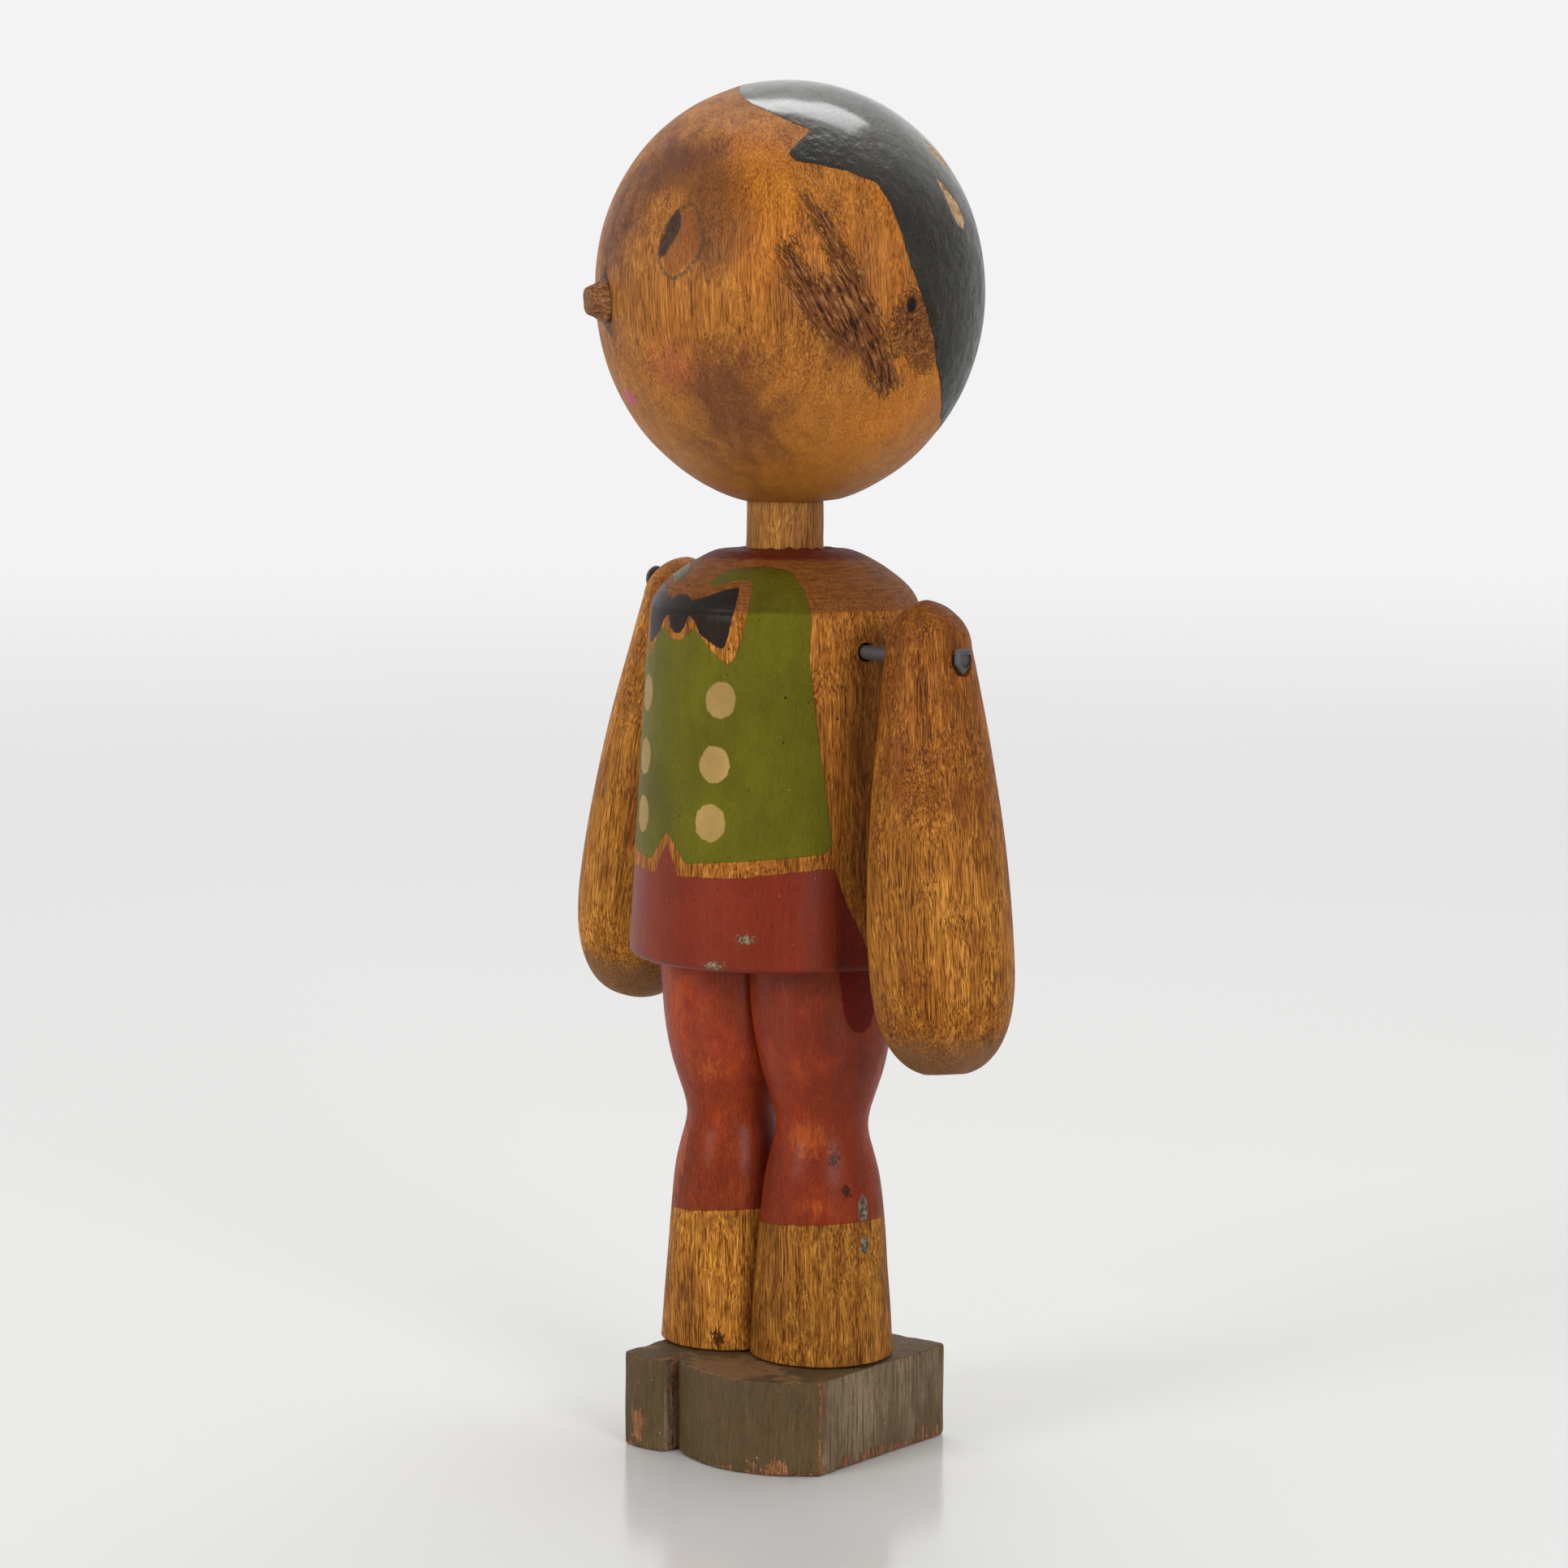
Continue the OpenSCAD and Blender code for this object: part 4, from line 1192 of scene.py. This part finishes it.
def leg_material(name, seed, bright):
    """A painted stocking with rubs, cracks and drips above a bare boot."""
    material, s, shader = new_material(name, coat_rough=0.28, specular=0.1)
    tones = colours()
    wood = varnished(s, seed, blotch=0.7, pores=0.75, light=darker(colour("D8963A"), bright),
                     middle=darker(colour("A86A24"), bright))
    place = seeded(s, seed)
    low_smudge = s.step(s.noise(s.stretch(place, 0.2, 0.2, 0.1), 1.0, 5.0, 0.65), 0.5, 0.66, 0.0, 0.6)
    under = s.mix(low_smudge, wood["Colour"], colour("5E3611"))
    up = s.up()
    thigh = s.step(up, 30.0, 42.0)
    paint = s.mix(thigh, s.mix(0.62, tuple(tones.stockings), colour("6E1D08")), tuple(tones.stockings))
    shade = s.mix(thigh, darker(tones.stockings, 0.5), darker(tones.stockings, 0.66))
    patches = s.noise(s.stretch(place, 0.32, 0.32, 0.16), 1.0, 5.0, 0.65)
    warm = s.mix(s.step(patches, 0.44, 0.62), paint,
                 s.mix(thigh, colour("8C300C"), colour("AE4014")))
    stocking = painted(s, seed, under, wood["Height"], warm, shade,
                       s.field("stocking"), 0.8, 0.14, 0.09)
    tone = stocking["Colour"]
    wander = s.about_nought(s.noise(place, 0.7, 4.0, 0.65))
    lines = s.about_nought(s.noise(s.stretch(place, 1.6, 1.6, 0.2), 1.0, 4.0, 0.65))
    rub = s.plus(s.field("rub"), s.plus(s.times(wander, 4.0), s.times(lines, 8.0)))
    rub = s.step(rub, -0.8, 2.4, 0.0, 0.62)
    tone = s.mix(rub, tone, colour("B8581E"))
    drip = s.step(s.plus(s.field("drip"), s.times(wander, 0.8)), -0.2, 0.25, 0.0, 0.95)
    tone = s.mix(drip, tone, s.mix(s.noise(place, 1.0, 3.0), colour("500A00"), colour("801904")))
    dab = s.step(s.plus(s.field("dab"), s.times(wander, 1.6)), -0.2, 0.3, 0.0, 0.9)
    dabbed = s.mix(s.step(s.noise(place, 1.3, 3.0), 0.4, 0.6), colour("46412F"), colour("7B8176"))
    tone = s.mix(dab, tone, dabbed)
    ragged = s.about_nought(s.noise(s.stretch(place, 2.4, 2.4, 0.8), 1.0, 4.0, 0.65, 0.8))
    crack = s.step(s.plus(s.field("crack"), s.times(ragged, 6.0)), 0.1, 0.4)
    tone = s.mix(s.times(crack, 0.9), tone, colour("2A1208"))
    pale = specks(s, seed + 1, 6.0, 0.10, 0.3)
    tone = s.mix(s.times(pale, 0.85), tone, colour("D8CDB8"))
    dark_fleck = specks(s, seed + 2, 3.2, 0.1, 0.22)
    tone = s.mix(s.times(dark_fleck, 0.7), tone, colour("28110A"))
    s.put(shader.inputs["Base Color"], tone)
    film_rough = s.step(s.noise(place, 0.6, 4.0), 0.3, 0.7, 0.38, 0.52)
    rough = s.mix(stocking["Mask"], (0.56, 0.56, 0.56), film_rough)
    s.put(shader.inputs["Roughness"], s.mix(drip, rough, (0.4, 0.4, 0.4)))
    glossy = s.sum("SUBTRACT", stocking["Mask"], drip, clamp=True)
    s.put(shader.inputs["Coat Weight"], s.times(glossy, s.step(up, 30.0, 60.0, 0.1, 0.22)))
    grit = s.noise(s.stretch(place, 2.0, 2.0, 1.2), 1.0, 4.0, 0.7)
    relief = s.plus(stocking["Height"], s.plus(s.times(crack, -2.0), s.times(dab, 0.5)))
    relief = s.plus(relief, s.times(grit, s.step(stocking["Mask"], 0.0, 1.0, 0.3, 1.3)))
    s.put(shader.inputs["Normal"], s.bump(relief, 0.2))
    return material


def build_leg(name, node, dowel, side, seed):
    """A turned leg with a knee groove, flat on the inside where it meets the other leg."""
    low, high = corners(node)
    axis = middle(dowel)
    length = high.z - low.z
    outline = smooth_run([(12.65, 0.0), (12.45, 3.0), (12.1, 9.0), (11.5, 17.3), (10.95, 24.5),
                          (10.2, 31.3), (9.2, 35.8), (8.4, 38.8), (8.15, 41.2), (8.6, 43.8),
                          (9.4, 46.4), (10.9, 51.4), (12.0, 57.2), (12.6, 63.0), (13.0, 68.0),
                          (13.1, length)], 12)
    outline = ([(0, 0), (5, 0), (9, 0), (12.3, 0.0), (12.6, 0.25)] + outline[2:]
               + [(8, length), (0, length)])
    bm = spun(outline, 144)
    wobble(bm, long("unevenness") * 0.8, 13, seed * 1.7, stretch=1.5)
    wobble(bm, 0.05, 2.2, seed * 0.9, stretch=4.0)
    seam = (corners("left_leg")[0].x + corners("right_leg")[1].x) / 2 - axis.x + side * LEG_SEAM
    for vert in bm.verts:
        if (vert.co.x - seam) * side < 0:
            vert.co.x = seam
        vert.co.z = min(max(vert.co.z, 0.0), length)
    matrix = Matrix.Translation((axis.x, axis.y, low.z))
    paint = leg_material(name + "_paint", seed, BOOT_BRIGHT[side > 0])
    made_piece(name, bm, matrix, node, "body", paint, leg_fields(side))


# ---- Foot block ----

BIG_TOE = (6.5, 21.5)
SMALL_TOE = (-12.3, 14.0)
SMALL_TOE_REACH = 23.4
NOTCH_X = -8.1


def toe_arc(middle_x, radius, front, start_x, end_x, count):
    """Points along a toe's front, an arc that reaches "front" before the axis."""
    centre_y = radius - front
    angles = [math.asin((x - middle_x) / radius) for x in (start_x, end_x)]
    turns = [angles[0] + (angles[1] - angles[0]) * k / count for k in range(count + 1)]
    return [(middle_x + radius * math.sin(a), centre_y - radius * math.cos(a)) for a in turns]


def foot_outline():
    """The block seen from above, anticlockwise from the right toe."""
    left, right, back = BASE_HIGH.x, BASE_LOW.x, BASE_HIGH.y
    small = toe_arc(SMALL_TOE[0], SMALL_TOE[1], SMALL_TOE_REACH, right + 0.6, NOTCH_X - 0.9, 16)
    big = toe_arc(BIG_TOE[0], BIG_TOE[1], -BASE_LOW.y, NOTCH_X + 0.35, left - 1.05, 34)
    notch = [(NOTCH_X - 0.35, -22.0), (NOTCH_X - 0.1, -19.6), (NOTCH_X + 0.15, -19.5)]
    round_back = [(left - 1.6 + 1.6 * math.cos(a), back - 1.6 + 1.6 * math.sin(a))
                  for a in [math.pi / 2 * k / 5 for k in range(6)]]
    other_back = [(right + 1.6 - 1.6 * math.sin(a), back - 1.6 + 1.6 * math.cos(a))
                  for a in [math.pi / 2 * k / 5 for k in range(6)]]
    side_right = [(right, small[0][1] + 1.0)]
    return small + notch + big + round_back + other_back + side_right


def foot_fields(local):
    """Distances from the block's floor, top and corners, for its wear."""
    x, y, z = local.T
    corner = np.hypot(x - BASE_HIGH.x + 1.05, y + 18.1)
    for at in ((BASE_HIGH.x, BASE_HIGH.y), (BASE_LOW.x, BASE_HIGH.y), (BASE_LOW.x, -16.0),
               (NOTCH_X, -20.5)):
        corner = np.minimum(corner, np.hypot(x - at[0], y - at[1]))
    lobe = np.where(y < -12, spot(x, z, (-14.4, 4.5), 2.2, 4.0), -9.0)
    return {"from_floor": z, "from_top": BASE_HIGH.z - z, "from_corner": corner, "lobe_chip": lobe,
            "top_patch": spot(x, y, (3.0, -19.0), 9.0, 4.0)}


def foot_material():
    """Thin paint over sawn wood, worn off along the edges and the top."""
    material, s, shader = new_material("foot_block_paint")
    tones = colours()
    wood = varnished(s, 30, 0.4, 0.5, colour("B27C50"), colour("8A5A36"), colour("4A2A16"))
    place = seeded(s, 30)
    lined = s.noise(s.stretch(place, 2.0, 2.0, 0.09), 1.0, 5.0, 0.66)
    rag = s.about_nought(s.noise(s.stretch(place, 0.34, 0.34, 0.24), 1.0, 6.0, 0.68))
    fine_rag = s.about_nought(s.noise(place, 1.5, 4.0, 0.65))
    facing = s.node("ShaderNodeSeparateXYZ")
    normal = s.node("ShaderNodeTexCoord")
    s.put(facing.inputs[0], normal.outputs["Normal"])
    on_top = s.step(facing.outputs[2], 0.5, 0.9)
    sawn = s.step(s.sum("ABSOLUTE", facing.outputs[0]), 0.8, 0.95)
    bottom = s.sum("SUBTRACT", s.field("from_floor"),
                   s.plus(s.times(rag, 24.0), s.plus(s.times(fine_rag, 3.0), 0.4)))
    top = s.sum("SUBTRACT", s.field("from_top"), s.plus(s.times(rag, 4.0), 0.15))
    top = s.plus(top, s.times(on_top, 6.0))
    corner = s.sum("SUBTRACT", s.field("from_corner"),
                   s.plus(s.times(rag, 3.0), s.plus(s.times(fine_rag, 2.0), 0.6)))
    lobe = s.sum("SUBTRACT", s.times(rag, -8.0), s.plus(s.field("lobe_chip"), -0.6))
    film = s.sum("MINIMUM", s.sum("MINIMUM", bottom, top), s.sum("MINIMUM", corner, lobe))
    smooth = s.mix(s.step(lined, 0.36, 0.62), darker(tones.foot, 0.78), tuple(tones.foot))
    ribbed = s.mix(s.step(lined, 0.38, 0.56), colour("554630"), colour("988468"))
    coat = painted(s, 31, wood["Colour"], wood["Height"], s.mix(sawn, smooth, ribbed),
                   s.mix(sawn, darker(tones.foot, 0.72), colour("5C4C34")), film, 0.8, 0.12, 0.10)
    tone = coat["Colour"]
    worn = s.noise(s.stretch(place, 0.16, 0.16, 0.16), 1.0, 6.0, 0.66)
    bare = s.step(s.plus(worn, s.times(s.field("top_patch"), 0.03)), 0.38, 0.50)
    tan = s.mix(s.noise(s.stretch(place, 0.5, 3.0, 1.0), 1.0, 4.0, 0.6), colour("5E3E22"),
                colour("A07850"))
    tone = s.mix(s.times(on_top, s.times(bare, 0.85)), tone, tan)
    gap = s.step(lined, 0.30, 0.37, 1.0, 0.0)
    tone = s.mix(s.times(gap, s.step(on_top, 0.0, 1.0, 0.7, 0.1)), tone, colour("2C2114"))
    pale = specks(s, 32, 1.6, 0.2, 0.12)
    tone = s.mix(s.times(pale, 0.8), tone, colour("D2C09E"))
    s.put(shader.inputs["Base Color"], tone)
    s.put(shader.inputs["Roughness"], s.step(lined, 0.3, 0.7, 0.72, 0.5))
    relief = s.plus(coat["Height"], s.times(lined, s.step(sawn, 0.0, 1.0, 0.7, 2.2)))
    relief = s.plus(relief, s.plus(s.times(s.times(bare, on_top), -0.9), s.times(fine_rag, 0.8)))
    s.put(shader.inputs["Normal"], s.bump(relief, 0.24))
    return material


def build_foot():
    """A block sawn to two toes: extruded, its edges worn round, and cut into small faces to carve."""
    top = BASE_HIGH.z
    bm = bmesh.new()
    floor = bm.faces.new([bm.verts.new((x, y, 0)) for x, y in foot_outline()])
    risen = bmesh.ops.extrude_face_region(bm, geom=[floor])["geom"]
    upper = [part for part in risen if isinstance(part, bmesh.types.BMVert)]
    bmesh.ops.translate(bm, verts=upper, vec=(0, 0, top))
    bmesh.ops.recalc_face_normals(bm, faces=bm.faces)
    rims = [e for e in bm.edges if abs(e.verts[0].co.z - e.verts[1].co.z) < 1e-6]
    bmesh.ops.bevel(bm, geom=rims, offset=0.55, segments=3, affect="EDGES", profile=0.5, material=-1)
    for axis, low, high, pitch in ((0, BASE_LOW.x, BASE_HIGH.x, 0.75),
                                   (1, BASE_LOW.y, BASE_HIGH.y, 0.6),
                                   (2, 0.6, top - 0.6, 0.62)):
        count = int((high - low) / pitch)
        way = Vector([float(axis == k) for k in range(3)])
        for k in range(1, count):
            bmesh.ops.bisect_plane(bm, geom=bm.verts[:] + bm.edges[:] + bm.faces[:], dist=1e-5,
                                   plane_co=way * (low + (high - low) * k / count), plane_no=way)
    bm.normal_update()
    for vert in bm.verts:
        at = vert.co.copy()
        edge_low = max(0.0, 1 - at.z / 1.8)
        edge_high = max(0.0, 1 - (top - at.z) / 1.4)
        side = 1 - abs(vert.normal.z)
        worn = max(0.0, ripple(Vector((at.x, at.y, at.z * 2)), 3.2, 2.0) + 0.1)
        move = -0.55 * worn * max(edge_low, edge_high) * (0.3 + side)
        sawn = max(0.0, abs(vert.normal.x) - 0.7) / 0.3
        ribs = 0.5 + 0.5 * ripple(Vector((at.x, at.y, at.z / 9)), 1.1, 6.0)
        move -= (0.06 + 0.20 * sawn) * side * ribs
        move += 0.12 * ripple(at, 9.0, 1.0) - 0.10
        if vert.normal.z > 0.8:
            move -= 0.10 + 0.22 * max(0.0, ripple(at, 3.4, 5.5)) + 0.08 * ripple(at, 1.2, 4.0)
        vert.co += vert.normal * move
        vert.co.z = max(vert.co.z, 0.0)
    made_piece("foot_block_carved", bm, Matrix.Identity(4), "base_block", "body",
               foot_material(), foot_fields)


def hidden_material(name):
    """A material for the frame's own pieces: it, its sheet, its shader and the place in millimetres."""
    material = bpy.data.materials.new(name)
    material.use_nodes = True
    s = Sheet(material.node_tree)
    coords = s.node("ShaderNodeTexCoord")
    place = s.stretch(coords.outputs["Object"], 1000, 1000, 1000)
    return material, s, material.node_tree.nodes["Principled BSDF"], place


def dress_hidden():
    """Finishes for the frame's own hidden nails and dowels."""
    dowel, s, shader, place = hidden_material("hidden_dowel_wood")
    grain, _, _ = groups()
    wood = s.use(grain, Place=place, Light=colour("C49A63"), Middle=colour("A87A45"),
                 Dark=colour("6E4822"), Blotch=0.3, Pores=0.3)
    s.put(shader.inputs["Base Color"], wood["Colour"])
    s.put(shader.inputs["Roughness"], s.step(wood["Height"], 0.2, 0.8, 0.7, 0.5))
    s.put(shader.inputs["Normal"], s.bump(wood["Height"], 0.1))
    iron, s, shader, place = hidden_material("foot_nail_iron")
    rust = s.step(s.noise(place, 1.2, 5.0, 0.7), 0.4, 0.65)
    s.put(shader.inputs["Base Color"], s.mix(rust, tuple(colours().iron), colour("55382A")))
    s.put(shader.inputs["Metallic"], s.step(rust, 0.0, 1.0, 0.8, 0.2))
    s.put(shader.inputs["Roughness"], s.step(rust, 0.0, 1.0, 0.4, 0.7))
    s.put(shader.inputs["Normal"], s.bump(s.noise(place, 2.0, 4.0), 0.1))
    for nodes, material in ((("left_leg_dowel", "right_leg_dowel"), dowel),
                            (("left_foot_nail", "right_foot_nail"), iron)):
        for node in nodes:
            mesh = frame["nodes"][node].data
            mesh.materials.clear()
            mesh.materials.append(material)


# ---- Stage ----

CAMERA_TURN = math.radians(36.9)
# Soft boxes in metres and watts: name, place seen from the camera's side, height aimed at,
# width, height and power.
SOFT_BOXES = (
    ("top_box", (0.06, 0.43, 1.10), 0.15, 0.75, 0.30, 4.3),
    ("left_box", (-1.1, -0.75, 0.60), 0.12, 0.5, 0.5, 9.0),
    ("right_box", (0.62, -1.15, 0.50), 0.10, 0.5, 0.5, 10.0),
)


def area_light(name, at, aim, width, height, power):
    """A soft box that faces its aim."""
    lamp = bpy.data.lights.new(name, "AREA")
    lamp.shape = "RECTANGLE"
    lamp.size, lamp.size_y = width, height
    lamp.energy = power
    made = bpy.data.objects.new(name, lamp)
    made.location = at
    made.rotation_euler = (Vector(aim) - Vector(at)).to_track_quat("-Z", "Y").to_euler()
    bpy.context.scene.collection.objects.link(made)


def build_camera():
    """A long lens, a little above the head's middle, that looks at the doll's left front."""
    distance, height, down, roll = 0.710, 0.1919, 6.03, 0.19
    camera = bpy.data.cameras.new("camera")
    camera.lens = 93.2
    camera.sensor_width = 36
    made = bpy.data.objects.new("camera", camera)
    made.matrix_world = (Matrix.Rotation(CAMERA_TURN, 4, "Z") @ Matrix.Translation((0, -distance, height))
                         @ Matrix.Rotation(math.radians(90 - down), 4, "X")
                         @ Matrix.Rotation(math.radians(roll), 4, "Z"))
    bpy.context.scene.collection.objects.link(made)
    bpy.context.scene.camera = made


def floor_material():
    """A pale, slightly glossy sheet that fades into the background a few metres away."""
    material, s, shader = new_material("pale_floor", specular=0.5)
    coords = s.node("ShaderNodeTexCoord")
    place = coords.outputs["Object"]
    soft = s.noise(place, 5.0, 3.0)
    s.put(shader.inputs["Base Color"], s.mix(soft, colour("D2D2D0"), colour("D5D5D4")))
    s.put(shader.inputs["Roughness"], s.step(soft, 0.3, 0.7, 0.15, 0.17))
    away = s.node("ShaderNodeVectorMath", operation="LENGTH")
    s.put(away.inputs[0], place)
    s.put(shader.inputs["Alpha"], s.step(away.outputs["Value"], 0.1, 3.2, 1.0, 0.0))
    return material


def soft_room():
    """A white room that is brightest behind the doll and dim on the camera's side."""
    world = bpy.data.worlds.new("soft_room")
    world.use_nodes = True
    s = Sheet(world.node_tree)
    sky = world.node_tree.nodes["Background"]
    coords = s.node("ShaderNodeTexCoord")
    facing = s.node("ShaderNodeVectorMath", operation="DOT_PRODUCT")
    s.put(facing.inputs[0], coords.outputs["Generated"])
    s.put(facing.inputs[1], tuple(Matrix.Rotation(CAMERA_TURN, 3, "Z") @ Vector((0, 1, 0.25))))
    glow = s.step(facing.outputs["Value"], -0.35, 0.75, 0.28, 0.95)
    seen = s.node("ShaderNodeLightPath")
    s.put(sky.inputs["Color"], s.mix(seen.outputs["Is Camera Ray"], glow, colour("F3F3F3")))
    sky.inputs["Strength"].default_value = 1.0
    bpy.context.scene.world = world


def build_stage():
    """The floor, the room, three soft boxes and the camera."""
    bm = bmesh.new()
    bmesh.ops.create_grid(bm, x_segments=8, y_segments=8, size=6.0)
    mesh = bpy.data.meshes.new("floor")
    bm.to_mesh(mesh)
    bm.free()
    floor = bpy.data.objects.new("floor", mesh)
    bpy.context.scene.collection.objects.link(floor)
    mesh.materials.append(floor_material())
    soft_room()
    turn = Matrix.Rotation(CAMERA_TURN, 3, "Z")
    for name, at, aim_up, width, height, power in SOFT_BOXES:
        area_light(name, turn @ Vector(at), (0, 0, aim_up), width, height, power)
    build_camera()
    bpy.context.scene.view_settings.view_transform = "Standard"


# ---- Operators, panel and run ----

class DollOperator:
    """What every step of the doll shares."""
    bl_options = {"REGISTER", "UNDO"}


class DOLL_OT_stage(DollOperator, bpy.types.Operator):
    """Makes the floor, the soft light and the camera"""
    bl_idname = "doll.stage"
    bl_label = "Stage"

    def execute(self, context):
        build_stage()
        return {"FINISHED"}


class DOLL_OT_head(DollOperator, bpy.types.Operator):
    """Makes the turned head with its painted hair and worn face"""
    bl_idname = "doll.head"
    bl_label = "Head"

    def execute(self, context):
        build_head()
        return {"FINISHED"}


class DOLL_OT_pegs(DollOperator, bpy.types.Operator):
    """Makes the whittled nose peg and the neck dowel"""
    bl_idname = "doll.pegs"
    bl_label = "Nose and neck"

    def execute(self, context):
        build_nose()
        build_neck()
        return {"FINISHED"}


class DOLL_OT_trunk(DollOperator, bpy.types.Operator):
    """Makes the trunk with its vest, bow tie, buttons and shorts"""
    bl_idname = "doll.trunk"
    bl_label = "Trunk"

    def execute(self, context):
        build_trunk()
        return {"FINISHED"}


class DOLL_OT_arms(DollOperator, bpy.types.Operator):
    """Makes both arms, bored for their nails"""
    bl_idname = "doll.arms"
    bl_label = "Arms"

    def execute(self, context):
        build_arm("left_arm_turned", "left_arm", LEFT_NAIL, 1, long("left_drop"), 13, 7.05)
        build_arm("right_arm_turned", "right_arm", RIGHT_NAIL, -1, long("right_drop"), 17, 6.35)
        return {"FINISHED"}


class DOLL_OT_nails(DollOperator, bpy.types.Operator):
    """Makes the arm nails and finishes the hidden nails and dowels"""
    bl_idname = "doll.nails"
    bl_label = "Nails"

    def execute(self, context):
        iron_material()
        build_nail("left_nail_forged", "left_arm_nail", LEFT_NAIL, 1, 0.9)
        build_nail("right_nail_forged", "right_arm_nail", RIGHT_NAIL, -1, 0.15)
        dress_hidden()
        return {"FINISHED"}


class DOLL_OT_legs(DollOperator, bpy.types.Operator):
    """Makes both legs with their painted stockings"""
    bl_idname = "doll.legs"
    bl_label = "Legs"

    def execute(self, context):
        build_leg("left_leg_turned", "left_leg", "left_leg_dowel", 1, 21)
        build_leg("right_leg_turned", "right_leg", "right_leg_dowel", -1, 26)
        return {"FINISHED"}


class DOLL_OT_foot(DollOperator, bpy.types.Operator):
    """Makes the foot block with its two toes"""
    bl_idname = "doll.foot"
    bl_label = "Foot block"

    def execute(self, context):
        build_foot()
        return {"FINISHED"}


STEPS = (DOLL_OT_stage, DOLL_OT_head, DOLL_OT_pegs, DOLL_OT_trunk, DOLL_OT_arms, DOLL_OT_nails,
         DOLL_OT_legs, DOLL_OT_foot)


class DOLL_PT_panel(bpy.types.Panel):
    """Lists the doll's sizes, colours and steps"""
    bl_label = "Doll"
    bl_idname = "DOLL_PT_panel"
    bl_space_type = "VIEW_3D"
    bl_region_type = "UI"
    bl_category = "Doll"

    def draw(self, context):
        for group in (context.scene.doll_shape, context.scene.doll_colours):
            box = self.layout.box()
            for name in group.bl_rna.properties.keys():
                if name not in {"rna_type", "name"}:
                    box.prop(group, name)
        for step in STEPS:
            self.layout.operator(step.bl_idname)


CLASSES = (DollShape, DollColours, *STEPS, DOLL_PT_panel)


def register():
    """Registers the classes and the scene's two groups of properties."""
    for made in CLASSES:
        bpy.utils.register_class(made)
    bpy.types.Scene.doll_shape = bpy.props.PointerProperty(type=DollShape)
    bpy.types.Scene.doll_colours = bpy.props.PointerProperty(type=DollColours)


def unregister():
    """Takes away what register() added."""
    del bpy.types.Scene.doll_colours
    del bpy.types.Scene.doll_shape
    for made in reversed(CLASSES):
        bpy.utils.unregister_class(made)


def main():
    """Builds the doll step by step."""
    register()
    bpy.ops.doll.stage()
    bpy.ops.doll.head()
    bpy.ops.doll.pegs()
    bpy.ops.doll.trunk()
    bpy.ops.doll.arms()
    bpy.ops.doll.nails()
    bpy.ops.doll.legs()
    bpy.ops.doll.foot()


if __name__ == "__main__":
    main()
